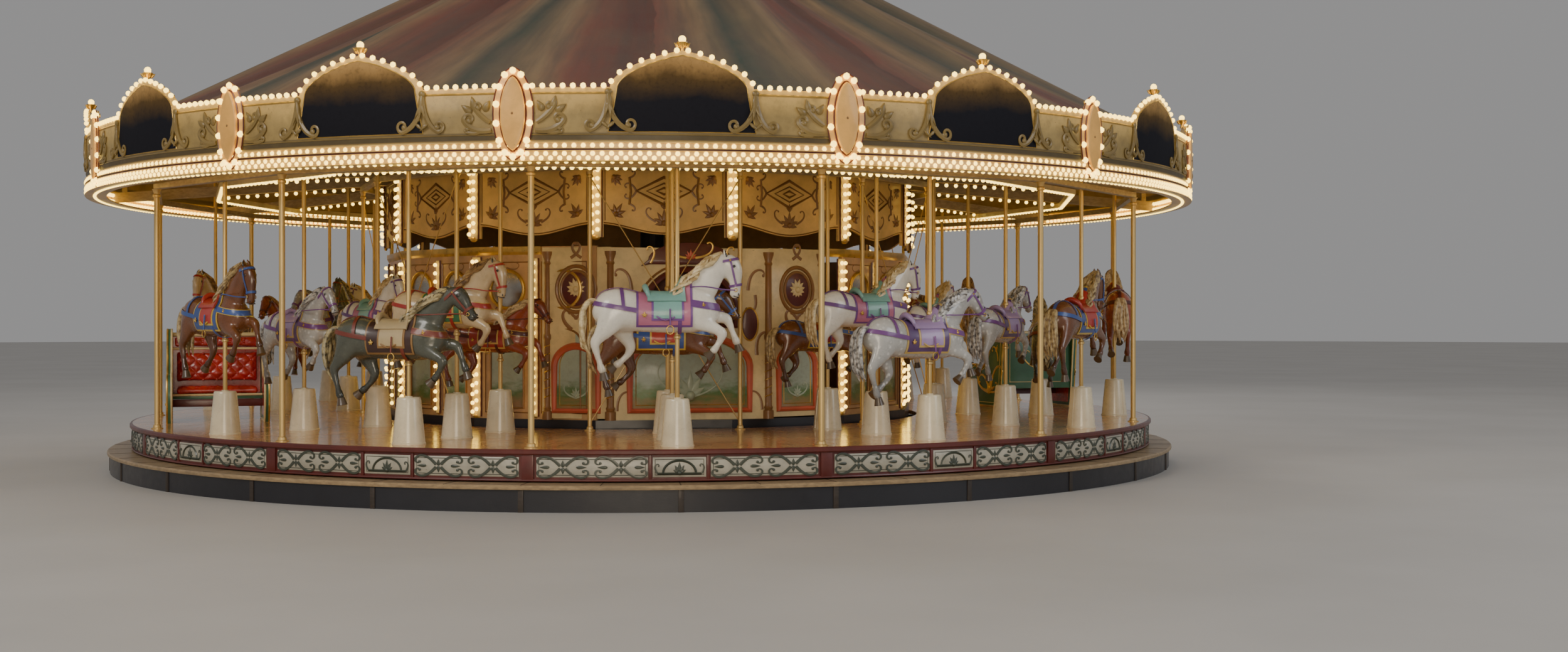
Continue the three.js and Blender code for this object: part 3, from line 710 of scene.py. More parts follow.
def striped_cloth(name):
    """Faded tilt cloth: broad gores of red brown, cream and dark green, with a coarse weave."""
    f = Finish(name)
    share, radius = bearing_of(f)
    wander = f.scaled(f.noise(0.9, 3), 0.012, -0.006)
    stripe = f.math("FRACT", f.math("MULTIPLY", f.math("ADD", share, wander), SECTIONS * 1.0))
    red, green, cream = (0.20, 0.050, 0.028), (0.030, 0.050, 0.032), (0.28, 0.18, 0.085)
    stops = [(0.0, red), (0.24, cream), (0.36, green), (0.60, cream), (0.72, red), (0.9, shade(red, 0.6))]
    tone = f.ramp(stripe, stops)
    faded = f.patches(1.3, 5, 0.35, 0.75, 0.55, 0.65)
    tone = f.mix(faded, tone, (0.15, 0.095, 0.052))
    streak_at = f.make("ShaderNodeCombineXYZ", {0: f.math("MULTIPLY", share, 300.0), 1: radius}).outputs[0]
    streak = f.ramp(f.noise(1.0, 4, streak_at), [(0.4, 0.0), (0.75, 0.5)])
    tone = f.mix(streak, tone, (0.06, 0.045, 0.035))
    sockets = {"Vector": f.place, "Scale": 190.0}
    across = f.make("ShaderNodeTexWave", sockets, bands_direction="X").outputs["Fac"]
    along = f.make("ShaderNodeTexWave", sockets, bands_direction="Y").outputs["Fac"]
    weave = f.math("ADD", across, along)
    f.bump(f.math("ADD", weave, f.math("MULTIPLY", f.noise(9, 4), 6.0)), 0.0014, 0.5)
    f.put(f.shader.inputs["Sheen Weight"], 0.08)
    return f.surface(tone, 0.88)


def lamp_glass(name, tint, glow):
    """Frosted bulbs whose glow varies a little in tone."""
    f = Finish(name)
    warm = f.ramp(f.noise(40, 1), [(0.3, shade(tint, 0.85)), (0.7, tint)])
    f.put(f.shader.inputs["Emission Color"], warm)
    f.put(f.shader.inputs["Emission Strength"], glow)
    return f.surface(warm, 0.25)


def smoky_lunette(name, dark, warm):
    """A dark night panel with painted lamplight: it warms towards its lamps at the top, along an uneven
    edge.
    """
    f = Finish(name)
    height = f.axes()[2]
    # Painted lamplight: the panel turns from dark to warm gold up towards the lamps on its crest, its edge
    # made uneven by a noise
    rise = f.rise(height, 3.62, 0.42)
    glow_edge_noise = f.scaled(f.noise(2.2, 5, rough=0.6), 0.7, -0.35)
    share = f.math("ADD", rise, glow_edge_noise, clamp=True)
    tone = f.ramp(share, [(0.12, dark), (0.60, shade(warm, 0.22)), (1.0, warm)])
    tone = f.mix(f.patches(30, 4, 0.5, 0.8, 0.4), tone, shade(dark, 0.5))
    f.bump(f.noise(24, 3), 0.001, 0.4)
    f.put(f.shader.inputs["Specular IOR Level"], 0.12)
    return f.surface(tone, 0.7)


def mirror_disc(name):
    f = Finish(name)
    tone = f.ramp(f.noise(3.4, 5, rough=0.7), [(0.35, (0.30, 0.27, 0.22)), (0.7, (0.52, 0.50, 0.45))])
    f.bump(f.noise(11, 3), 0.0006, 0.3)
    return f.surface(tone, f.scaled(f.noise(6, 5), 0.35, 0.06), 0.9)


def misty_picture(name, sky, ground):
    """A pale painted panel without a subject: sky colour above, soft greens and browns below."""
    f = Finish(name)
    height = f.axes()[2]
    rise = f.rise(height, 0.7, 0.9)
    cloud = f.scaled(f.noise(5, 5, f.stretched(1, 1, 2.4), 0.6), 0.5, -0.25)
    share = f.math("ADD", rise, cloud, clamp=True)
    earth, leafy = (0.33, 0.20, 0.085), ground
    tone = f.ramp(share, [(0.06, earth), (0.24, leafy), (0.42, shade(sky, 0.8)), (0.9, sky)])
    tone = f.mix(f.patches(26, 4, 0.5, 0.85, 0.35), tone, shade(earth, 0.6))
    f.bump(f.noise(60, 2, f.stretched(1, 1, 4)), 0.001, 0.4)
    return f.surface(tone, 0.4, 0.0, 0.3)


# Roughness, wear and varnish of the plain paints
PAINTED = {
    "cream": (0.42, 0.5, 0.25),
    "orange": (0.42, 0.35, 0.25),
    "ochre": (0.5, 0.35, 0.1),
    "tan": (0.42, 0.5, 0.25),
    "oxblood": (0.42, 0.6, 0.25),
    "coral": (0.42, 0.3, 0.25),
    "olive": (0.42, 0.5, 0.25),
    "umber": (0.42, 0.3, 0.25),
    "night": (0.42, 0.3, 0.25),
    "sage": (0.42, 0.5, 0.25),
    # The bright paint is painted lamplight, laid on the cornice rail round its lamps
    "bright": (0.4, 0.45, 0.3),
    "panel": (0.4, 0.55, 0.2),
    "green": (0.42, 0.35, 0.25),
}


def make_finishes():
    """Every finish of the carousel by its name."""
    scene = bpy.context.scene
    colours = scene.carousel_colours
    paints = {name: tuple(getattr(colours, name)) for name in colours.__annotations__}
    made = {name: painted(f"{name}_paint", paints[name], *how) for name, how in PAINTED.items()}
    made.update({
        "ink": painted("ink_paint", (0.055, 0.065, 0.045), wear=0.2),
        "scroll": painted("scroll_paint", paints["olive"], 0.4, 0.4, 0.2),
        "cone": painted("cone_enamel", paints["cone"], 0.28, 0.22, 0.6),
        "gold": gilded("gold_leaf", paints["gold"]),
        "iron": gilded("dark_iron", (0.10, 0.095, 0.09), 0.55, 0.6),
        "brass": brass_tube("brass_tube", paints["brass"]),
        "board": board_paint("board_paint", paints["board"], paints["bright"]),
        "deck": deck_boards("deck_boards", paints["deck"]),
        "timber": sawn_timber("roof_timber", paints["timber"]),
        "bearer": sawn_timber("bearer_timber", (0.045, 0.032, 0.023)),
        "step": sawn_timber("step_timber", (0.40, 0.28, 0.15), 0.45),
        "hide": buttoned_hide("red_hide", paints["hide"]),
        "cloth": striped_cloth("striped_tilt"),
        "lamp": lamp_glass("lamp_glass", paints["lamp"], scene.carousel_sizes.glow),
        # The lunette's warm colour is painted lamplight from the crest's lamps
        "lunette": smoky_lunette("smoky_lunette", paints["night"], (0.42, 0.25, 0.09)),
        "mirror": mirror_disc("mirror_disc"),
        "picture": misty_picture("misty_picture", (0.45, 0.55, 0.44), (0.10, 0.20, 0.06)),
    })
    return made


finishes = {}


# Stage


class CAROUSEL_OT_stage(bpy.types.Operator):
    """Sets the camera, the pale floor and the soft lights"""

    bl_idname = "carousel.stage"
    bl_label = "Stage"

    def execute(self, context):
        scene = context.scene
        data = bpy.data.cameras.new("camera")
        data.lens = 38.85
        data.sensor_width = 36
        data.clip_end = 400
        camera = bpy.data.objects.new("camera", data)
        camera.location = (0, -21.62, 1.734)
        camera.rotation_euler = (math.radians(89.77), 0, math.radians(-4.455))
        scene.collection.objects.link(camera)
        scene.camera = camera

        bm = bmesh.new()
        bmesh.ops.create_circle(bm, cap_ends=True, segments=64, radius=120)
        floor = bpy.data.objects.new("floor", as_mesh(bm))
        pale = Finish("pale_floor")
        tone = pale.ramp(pale.noise(0.35, 4), [(0.3, (0.50, 0.48, 0.45)), (0.7, (0.56, 0.54, 0.51))])
        floor.data.materials.append(pale.surface(tone, 0.55))
        scene.collection.objects.link(floor)

        world = bpy.data.worlds.new("studio")
        world.use_nodes = True
        sky = world.node_tree.nodes["Background"]
        sky.inputs["Color"].default_value = (0.87, 0.86, 0.86, 1)
        sky.inputs["Strength"].default_value = 0.34
        scene.world = world
        softboxes = [
            ("key", (-14, -20, 13), 9, 1900, (1.0, 0.95, 0.88)),
            ("fill", (17, -15, 9), 10, 900, (0.88, 0.93, 1.0)),
            ("back", (4, 18, 15), 9, 1000, (1.0, 0.95, 0.90)),
            ("front", (-1, -30, 3.2), 9, 1500, (1.0, 0.84, 0.62)),
        ]
        for name, place, size, power, tint in softboxes:
            light = bpy.data.lights.new(name, "AREA")
            light.shape = "DISK"
            light.size = size
            light.energy = power
            light.color = tint
            box = bpy.data.objects.new(name, light)
            box.location = place
            aim = Vector((0, 0, 2)) - Vector(place)
            box.rotation_euler = aim.to_track_quat("-Z", "Y").to_euler()
            scene.collection.objects.link(box)
        return {"FINISHED"}


class CAROUSEL_OT_finishes(bpy.types.Operator):
    """Mixes the paints, metals, timber and cloth that the pieces share"""

    bl_idname = "carousel.finishes"
    bl_label = "Finishes"

    def execute(self, context):
        finishes.update(make_finishes())
        kept_nodes = {
            "ground_frame": "bearer",
            "centre_mast": "iron",
            "house_plinth": "night",
            "roof_sweeps": "timber",
            "roof_rafters": "timber",
            "light_ring": "cream",
        }
        for node, finish in kept_nodes.items():
            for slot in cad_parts[node].material_slots:
                slot.material = finishes[finish]
        return {"FINISHED"}


# Base and deck


class CAROUSEL_OT_step(bpy.types.Operator):
    """Builds the low step round the deck, with its worn edge and its skirt painted near black as painted
    shade
    """

    bl_idname = "carousel.step"
    bl_label = "Step"

    def execute(self, context):
        edge = STEP_Z - 0.04
        treads = [
            (STEP_INNER_R, edge), (STEP_R - 0.004, edge), (STEP_R, edge + 0.006), (STEP_R, STEP_Z - 0.012),
            (STEP_R - 0.012, STEP_Z), (STEP_INNER_R, STEP_Z),
        ]
        # Painted shade: the skirt under the tread's nose is painted in the near-black night paint
        skirt = [(STEP_R - 0.055, 0), (STEP_R - 0.03, 0), (STEP_R - 0.03, edge), (STEP_R - 0.055, edge)]
        inner = [
            (STEP_INNER_R + 0.005, 0), (STEP_INNER_R + 0.03, 0), (STEP_INNER_R + 0.03, edge),
            (STEP_INNER_R + 0.005, edge),
        ]
        piece = Piece()
        for profile, steps, finish in ((treads, 10, "step"), (skirt, 10, "night"), (inner, 4, "bearer")):
            piece.add(ring(profile, SECTIONS * steps), finish)
        wide = STEP_R - 0.012 - STEP_INNER_R
        joint = block(0.006, wide, 0.004)
        middle = STEP_INNER_R + wide / 2
        bearings = [deg + STEP_DEG / 4 * k for deg in BOUNDARIES for k in range(4)]
        places = [at_bearing(deg, middle, STEP_Z) for deg in bearings]
        piece.add(joint, "bearer", *places)
        post = board(0.05, edge, 0.012, 0.003)
        posts = [at_bearing(deg, STEP_R - 0.032, edge / 2) for deg in BOUNDARIES + RANKS]
        piece.add(post, "bearer", *posts)
        piece.finish("entry_step_dressed", GROUND, "pale_wood", ["entry_step"])
        return {"FINISHED"}


class CAROUSEL_OT_deck(bpy.types.Operator):
    """Lays the varnished deck with its dark red rim and sets the cream cones on it"""

    bl_idname = "carousel.deck"
    bl_label = "Deck"

    def execute(self, context):
        low = DECK_Z - 0.05
        floor = [
            (DECK_INNER_R, low), (DECK_R - 0.03, low), (DECK_R - 0.03, DECK_Z), (DECK_INNER_R, DECK_Z),
        ]
        rim = [
            (DECK_R - 0.03, low), (DECK_R - 0.008, low), (DECK_R, low + 0.01), (DECK_R, DECK_Z - 0.012),
            (DECK_R - 0.010, DECK_Z), (DECK_R - 0.03, DECK_Z),
        ]
        piece = Piece()
        piece.add(ring(floor, ROUND), "deck")
        piece.add(ring(rim, ROUND), "oxblood")
        piece.finish("deck_floor", TURNTABLE, "deck_wood", ["deck"])

        bore, wall = 0.024, 0.012
        outer = [
            (0.160, DECK_Z), (0.160, DECK_Z + 0.012), (0.154, DECK_Z + 0.018), (0.114, CONE_TOP_Z - 0.022),
            (0.111, CONE_TOP_Z - 0.008), (0.102, CONE_TOP_Z), (bore + wall, CONE_TOP_Z),
            (bore + wall, CONE_TOP_Z + 0.010), (bore, CONE_TOP_Z + 0.010), (bore, DECK_Z),
        ]
        cone = spun(outer, 36, closed=True)
        seam = tube([(0.1545, 0, DECK_Z + 0.02), (0.1145, 0, CONE_TOP_Z - 0.024)], 0.0035, 6)
        cones = Piece()
        for i in HORSE_RANKS:
            for row, radius in enumerate(ROW_R):
                place = at_bearing(RANKS[i], radius)
                cones.add(cone, "cone", place)
                cones.add(seam, "cone", place @ turned(40 + 37 * row + 61 * i, "Z"))
        cones.finish("pole_cones", TURNTABLE, "cream_paint", ["deck"])
        return {"FINISHED"}


class CAROUSEL_OT_fascia(bpy.types.Operator):
    """Builds the panels under the deck's rim, with painted scrolls between dark posts"""

    bl_idname = "carousel.fascia"
    bl_label = "Fascia"

    def execute(self, context):
        low, top, face = 0.258, 0.4997, DECK_R - 0.02
        back = [(face - 0.06, low), (face - 0.016, low), (face - 0.016, top), (face - 0.06, top)]
        foot = [
            (face - 0.016, low), (face - 0.003, low), (face, low + 0.006), (face - 0.003, low + 0.018),
            (face - 0.016, low + 0.020),
        ]
        piece = Piece()
        piece.add(ring(back, SECTIONS * 10), "oxblood")
        piece.add(ring(foot, SECTIONS * 10), "oxblood")
        middle, tall = (low + top) / 2 + 0.008, 0.182
        across = (2 * math.pi * face / SECTIONS - 0.12) / 5
        swirls = self.swirls()
        fanlight = self.fanlight()
        post = board(0.11, tall + 0.05, 0.015, 0.003)
        bar = board(0.028, tall + 0.045, 0.014, 0.003)
        for boundary in BOUNDARIES:
            piece.add(post, "oxblood", at_bearing(boundary, face - 0.016, middle))
            for edge in (2, 3):
                deg = boundary + math.degrees((0.06 + across * edge) / face)
                piece.add(bar, "oxblood", at_bearing(deg, face - 0.016, middle))
            for first, count, motif in ((0, 2, swirls), (2, 1, fanlight), (3, 2, swirls)):
                start = boundary + math.degrees((0.06 + across * first + 0.022) / face)
                end = boundary + math.degrees((0.06 + across * (first + count) - 0.022) / face)
                self.panel(piece, start, end, face, middle, tall)
                for k in range(count):
                    deg = boundary + math.degrees((0.06 + across * (first + k + 0.5)) / face)
                    piece.add(motif, "ink", at_bearing(deg, face - 0.009, middle))
        piece.finish("fascia_panels", TURNTABLE, "cream_paint", ["deck_fascia"])
        return {"FINISHED"}

    def panel(self, piece, start, end, face, middle, tall):
        """A panel bent along the fascia, with a painted line inside its edge."""
        steps = max(4, round((end - start) / 0.7))
        bearings = [start + (end - start) * k / steps for k in range(steps + 1)]
        half = tall / 2
        section = (
            (face - 0.03, -half), (face - 0.014, -half), (face - 0.010, 0.006 - half),
            (face - 0.010, half - 0.006), (face - 0.014, half), (face - 0.03, half),
        )
        bm = bmesh.new()
        rows = []
        for out, z in section:
            rows.append([bm.verts.new(at_bearing(deg, out, middle + z).translation) for deg in bearings])
        for a, b in zip(rows, rows[1:]):
            for k in range(steps):
                bm.faces.new((a[k], a[k + 1], b[k + 1], b[k]))
        for k in (0, steps):
            bm.faces.new([row[k] for row in rows])
        piece.add(outward(bm), "panel")
        inset = math.degrees(0.022 / face)
        low, high = middle - tall / 2 + 0.02, middle + tall / 2 - 0.02
        inner = [start + inset + (end - start - 2 * inset) * k / steps for k in range(steps + 1)]
        line = [at_bearing(deg, face - 0.0095, low).translation for deg in inner]
        line += [at_bearing(deg, face - 0.0095, high).translation for deg in reversed(inner)]
        piece.add(tube(line, 0.0032, 4, cyclic=True), "ink")

    def swirls(self):
        """Two painted S scrolls that cross like a bow, with a leaf at each side."""
        parts = []
        for hand in (1, -1):
            for up in (1, -1):
                start, aim = (0.02 * hand, 0.012 * up), 90 - hand * 90 + hand * up * 52
                parts.append(scroll(start, aim, 0.30, -0.82 * up * hand, 0.017, 0.3, 18))
            parts.append(leaf_at(90 * hand, 0.085, 0.036, 0.004, (0.105 * hand, 0, 0)))
        for up in (0, 180):
            parts.append(leaf_at(up, 0.070, 0.034, 0.004, (0, 0, 0)))
        return welded(parts, sized(1.15, 1, 0.92))

    def fanlight(self):
        """A half round with a palmette in it."""
        parts = [
            tube([(x, 0, z) for x, z in arch(0.15, 0.115, -0.055, 16)], 0.011, 4),
            tube([(-0.20, 0, -0.058), (0.20, 0, -0.058)], 0.009, 4),
            scroll((-0.20, -0.058), 125, 0.13, -0.7, 0.010, 0.4, 12),
            scroll((0.20, -0.058), 55, 0.13, 0.7, 0.010, 0.4, 12),
        ]
        shell = placed(fan(5, 130, 0.10, 0.040, 0.004), moved(0, 0, -0.052))
        return welded([*parts, shell])


class CAROUSEL_OT_poles(bpy.types.Operator):
    """Stands the brass poles with their flanges, the beams on their heads and the thin stays"""

    bl_idname = "carousel.poles"
    bl_label = "Poles"

    def execute(self, context):
        frames = (
            ("outer_poles_dressed", "outer_poles", OUTER_POLE_R, 0.029),
            ("inner_poles_dressed", "inner_poles", INNER_POLE_R, 0.024),
        )
        for name, node, radius, bar in frames:
            beam_top = sweep_z(radius + 0.035) - GAP
            beam_low = beam_top - 0.06
            profile = [
                (0, DECK_Z), (bar + 0.034, DECK_Z), (bar + 0.034, DECK_Z + 0.008),
                (bar + 0.014, DECK_Z + 0.014), (bar + 0.010, DECK_Z + 0.040), (bar, DECK_Z + 0.046),
                (bar, beam_low - 0.09), (bar + 0.012, beam_low - 0.084), (bar + 0.012, beam_low - 0.062),
                (bar + 0.002, beam_low - 0.05), (bar + 0.008, beam_low - 0.02), (bar + 0.022, beam_low),
                (0, beam_low),
            ]
            pole = spun(profile, 20)
            piece = Piece()
            piece.add(pole, "brass", *[at_bearing(deg, radius) for deg in BOUNDARIES])
            beam = [
                (radius - 0.035, beam_low), (radius + 0.029, beam_low), (radius + 0.035, beam_low + 0.006),
                (radius + 0.035, beam_top), (radius - 0.035, beam_top),
            ]
            piece.add(ring(beam), "timber")
            if node == "inner_poles":
                self.stays(piece, radius)
            piece.finish(name, TURNTABLE, "brass", [node])
        return {"FINISHED"}

    def stays(self, piece, radius):
        reach = radius * math.sin(HALF_STEP) - 0.009
        out = radius * math.cos(HALF_STEP)
        low, high = DECK_Z + 0.09, sweep_z(radius) - 0.15
        for i, deg in enumerate(RANKS):
            if i % 2:
                continue
            for hand in (1, -1):
                y = -0.008 * hand
                bar = tube([(-reach * hand, y, low), (reach * hand, y, high)], 0.006, 8)
                piece.add(bar, "brass", at_bearing(deg, out))
                boss = ball(0.013, 10, 6)
                for end_x, end_z in ((-reach * hand, low), (reach * hand, high)):
                    piece.add(boss, "brass", at_bearing(deg, out) @ moved(end_x, y, end_z))


# Cornice


def crest_line(half, rise, steps):
    """Points [x, z] over a crest, from right to left: an ellipse drawn up to a blunt point."""
    points = []
    for i in range(steps + 1):
        share = math.cos(math.pi * i / steps)
        height = 0.65 * math.sqrt(max(0, 1 - share * share)) + 0.35 * (1 - abs(share))
        points.append((half * share, CORNICE_TOP + rise * height))
    return points


class CAROUSEL_OT_cornice(bpy.types.Operator):
    """Builds the rounding boards with dark lunettes, mouldings and carved scrolls, and their rail"""

    bl_idname = "carousel.cornice"
    bl_label = "Cornice boards"

    def execute(self, context):
        crest = crest_line(CREST_HALF, CREST_RISE, 30)
        outline = [(-BOARD_HALF, CORNICE_LOW), (BOARD_HALF, CORNICE_LOW), (BOARD_HALF, CORNICE_TOP)]
        plate = slab([*outline, *crest, (-BOARD_HALF, CORNICE_TOP)], BOARD_THICK, 0.005)
        sides = [(0.655, LUNETTE_LOW), (0.64, 3.47), (0.61, 3.58), (0.588, 3.70)]
        dome = [(x, z - 0.012) for x, z in crest_line(0.578, CREST_RISE - 0.035, 28)[1:-1]]
        window = [(-0.655, LUNETTE_LOW), *sides, *dome, *[(-x, z) for x, z in sides[:0:-1]]]
        top = CORNICE_TOP - 0.05
        piece = Piece()
        piece.add(plate, "board")
        face = moved(0, -BOARD_THICK, 0)
        piece.add(slab(window, 0.006, 0.003), "lunette", face)
        piece.add(line_of(window, 0.008, 6), "gold", face)
        line = [(CREST_HALF + 0.03 + (BOARD_HALF - CREST_HALF - 0.05) * k / 8, 0, top) for k in range(9)]
        piece.add(both_sides(tube(line, 0.010, 6)), "gold", face)
        line = [(BOARD_HALF * k / 16, 0, 3.360) for k in range(-16, 17)]
        piece.add(tube(line, 0.007, 6), "olive", face)
        piece.add(both_sides(self.bracket()), "scroll", face @ moved(0, -0.012, 0))
        piece.add(both_sides(self.spray()), "scroll", face @ moved(0, -0.008, 0))
        piece.bend(BOARD_R - BOARD_THICK)
        piece.repeat(RANKS)
        piece.finish("rounding_boards", TURNTABLE, "cream_paint", ["cornice_boards"])

        low = CORNICE_LOW - 0.018
        bottom = Piece()
        # Painted lamplight: the rail's bands round its rows of lamps are painted in the bright gold of the
        # lamps' glow
        bottom.add(ring([
            (RAIL_INNER_R, CORNICE_LOW - 0.002), (RAIL_INNER_R, low), (RAIL_R - 0.010, low),
            (RAIL_R - 0.004, low + 0.005), (RAIL_R - 0.018, low + 0.012), (RAIL_R - 0.018, low + 0.088),
            (RAIL_R - 0.004, low + 0.093), (RAIL_R - 0.004, low + 0.097), (BOARD_R + 0.001, low + 0.100),
            (BOARD_R + 0.001, CORNICE_LOW - 0.002),
        ], ROUND), "bright")
        bottom.add(ring([
            (BOARD_R + 0.001, low + 0.100), (BOARD_R + 0.004, low + 0.102), (BOARD_R + 0.004, low + 0.110),
            (BOARD_R + 0.001, low + 0.112),
        ], ROUND), "oxblood")
        bottom.add(ring([
            (BOARD_R + 0.001, low + 0.112), (RAIL_R - 0.006, low + 0.114), (RAIL_R - 0.006, low + 0.120),
            (RAIL_R - 0.018, low + 0.124), (RAIL_R - 0.018, low + 0.160), (RAIL_R - 0.006, low + 0.166),
            (RAIL_R - 0.006, low + 0.172), (BOARD_R + 0.001, low + 0.180),
        ], ROUND), "bright")
        bottom.finish("cornice_rail_dressed", TURNTABLE, "cream_paint", ["cornice_rail"])
        return {"FINISHED"}

    def bracket(self):
        """A leafy stem on the crest's shoulder that parts into two volutes curling up like an anchor."""
        return welded([
            hook((0.652, 3.735), (0.645, 3.45), (0.462, 3.452), 0.056, 0.026),
            hook((0.656, 3.735), (0.665, 3.45), (0.812, 3.448), 0.052, 0.026),
            placed(ball(0.034, 10, 6), moved(0.654, 0, 3.735) @ sized(1, 0.6, 1)),
            leaf_at(186, 0.25, 0.055, 0.013, (0.654, -0.012, 3.73)),
            leaf_at(164, 0.17, 0.045, 0.013, (0.645, -0.012, 3.66)),
            leaf_at(208, 0.17, 0.045, 0.013, (0.665, -0.012, 3.66)),
            leaf_at(132, 0.10, 0.035, 0.013, (0.60, -0.012, 3.47)),
            leaf_at(228, 0.10, 0.035, 0.013, (0.71, -0.012, 3.47)),
        ])

    def spray(self):
        """A carved wing beside a shield: two thick volutes and three leaves."""
        return welded([
            hook((1.30, 3.40), (1.13, 3.37), (1.095, 3.505), 0.052, 0.030, 200, 0.8),
            hook((1.29, 3.47), (1.20, 3.52), (1.175, 3.615), 0.038, 0.026, 190, 0.75),
            hook((1.24, 3.41), (1.16, 3.36), (1.075, 3.405), 0.026, 0.020, -60, 0.7),
            leaf_at(-55, 0.12, 0.075, 0.016, (1.12, 0, 3.56)),
            leaf_at(-14, 0.13, 0.075, 0.016, (1.15, 0, 3.58)),
            leaf_at(30, 0.11, 0.075, 0.016, (1.23, 0, 3.57)),
        ])


class CAROUSEL_OT_shields(bpy.types.Operator):
    """Hangs a domed oval shield on each corner of the cornice"""

    bl_idname = "carousel.shields"
    bl_label = "Shields"

    def execute(self, context):
        piece = Piece()
        piece.add(slab(oval(SHIELD_HALF, SHIELD_TALL, SHIELD_Z, 40, 0.92), 0.012, 0.005, 2), "orange")
        field = oval(0.112, 0.325, SHIELD_Z, 32, 0.78)
        piece.add(slab(field, 0.036, 0.016, 3), "orange", moved(0, -0.012, 0))
        piece.add(line_of(oval(0.119, 0.335, SHIELD_Z, 32, 0.78), 0.008), "oxblood", moved(0, -0.014, 0))
        rim = oval(SHIELD_HALF - 0.004, SHIELD_TALL - 0.004, SHIELD_Z, 40, 0.92)
        piece.add(line_of(rim, 0.007), "oxblood", moved(0, -0.009, 0))
        stencil = [fan(5, 150, 0.07, 0.022, 0.002), fan(5, 150, 0.07, 0.022, 0.002)]
        stencil[1].transform(turned(180, "Y"))
        piece.add(welded(stencil, moved(0, 0, SHIELD_Z)), "tan", moved(0, -0.042, 0))
        for up in (1, -1):
            tip = both_sides(scroll((0.0, 0.16), 60, 0.14, 0.6, 0.005, 0.4, 14))
            piece.add(welded([tip], sized(1, 1, up)), "tan", moved(0, -0.046, SHIELD_Z))
        piece.bm.transform(moved(0, -BOARD_R - 0.0005, 0))
        piece.repeat(BOUNDARIES)
        piece.finish("corner_shields", TURNTABLE, "shield_orange", ["cornice_rail"])
        return {"FINISHED"}


# Lamps


def bulb_shapes(radius):
    """A bulb standing on the origin along z, and its cup."""
    bm = bmesh.new()
    bmesh.ops.create_uvsphere(bm, u_segments=7, v_segments=5, radius=radius)
    bmesh.ops.translate(bm, verts=bm.verts[:], vec=(0, 0, radius * 1.15))
    cup = bmesh.new()
    bmesh.ops.create_cone(
        cup, cap_ends=False, segments=6, radius1=radius * 0.72, radius2=radius * 0.60, depth=radius * 0.7,
        matrix=moved(0, 0, radius * 0.3),
    )
    return as_mesh(bm), as_mesh(cup)


def lamps(name, radius, places, body, slot="cream_paint"):
    """One piece of like lamps, each pointing along its place's z."""
    bulb, cup = bulb_shapes(radius)
    piece = Piece()
    piece.add(bulb, "lamp", *places)
    piece.add(cup, "gold", *places)
    return piece.finish(name, body, slot, smooth_deg=80)


OUTWARDS = turned(90, "X")
DOWNWARDS = turned(180, "X")
INWARDS = turned(-90, "X")


def round_ring(radius, z, pitch, aim, sides=SECTIONS):
    """Places along a ring with corners on the boundaries, a pitch apart."""
    half = math.pi / sides
    reach = radius * math.sin(half)
    face = radius * math.cos(half)
    count = round(2 * reach / pitch)
    places = []
    for i in range(sides):
        deg = BOUNDARY_DEG + 360 / sides * (i + 0.5)
        for k in range(count):
            x = ((k + 0.5) / count * 2 - 1) * reach
            places.append(at_bearing(deg, face, z) @ moved(x, 0, 0) @ aim)
    return places


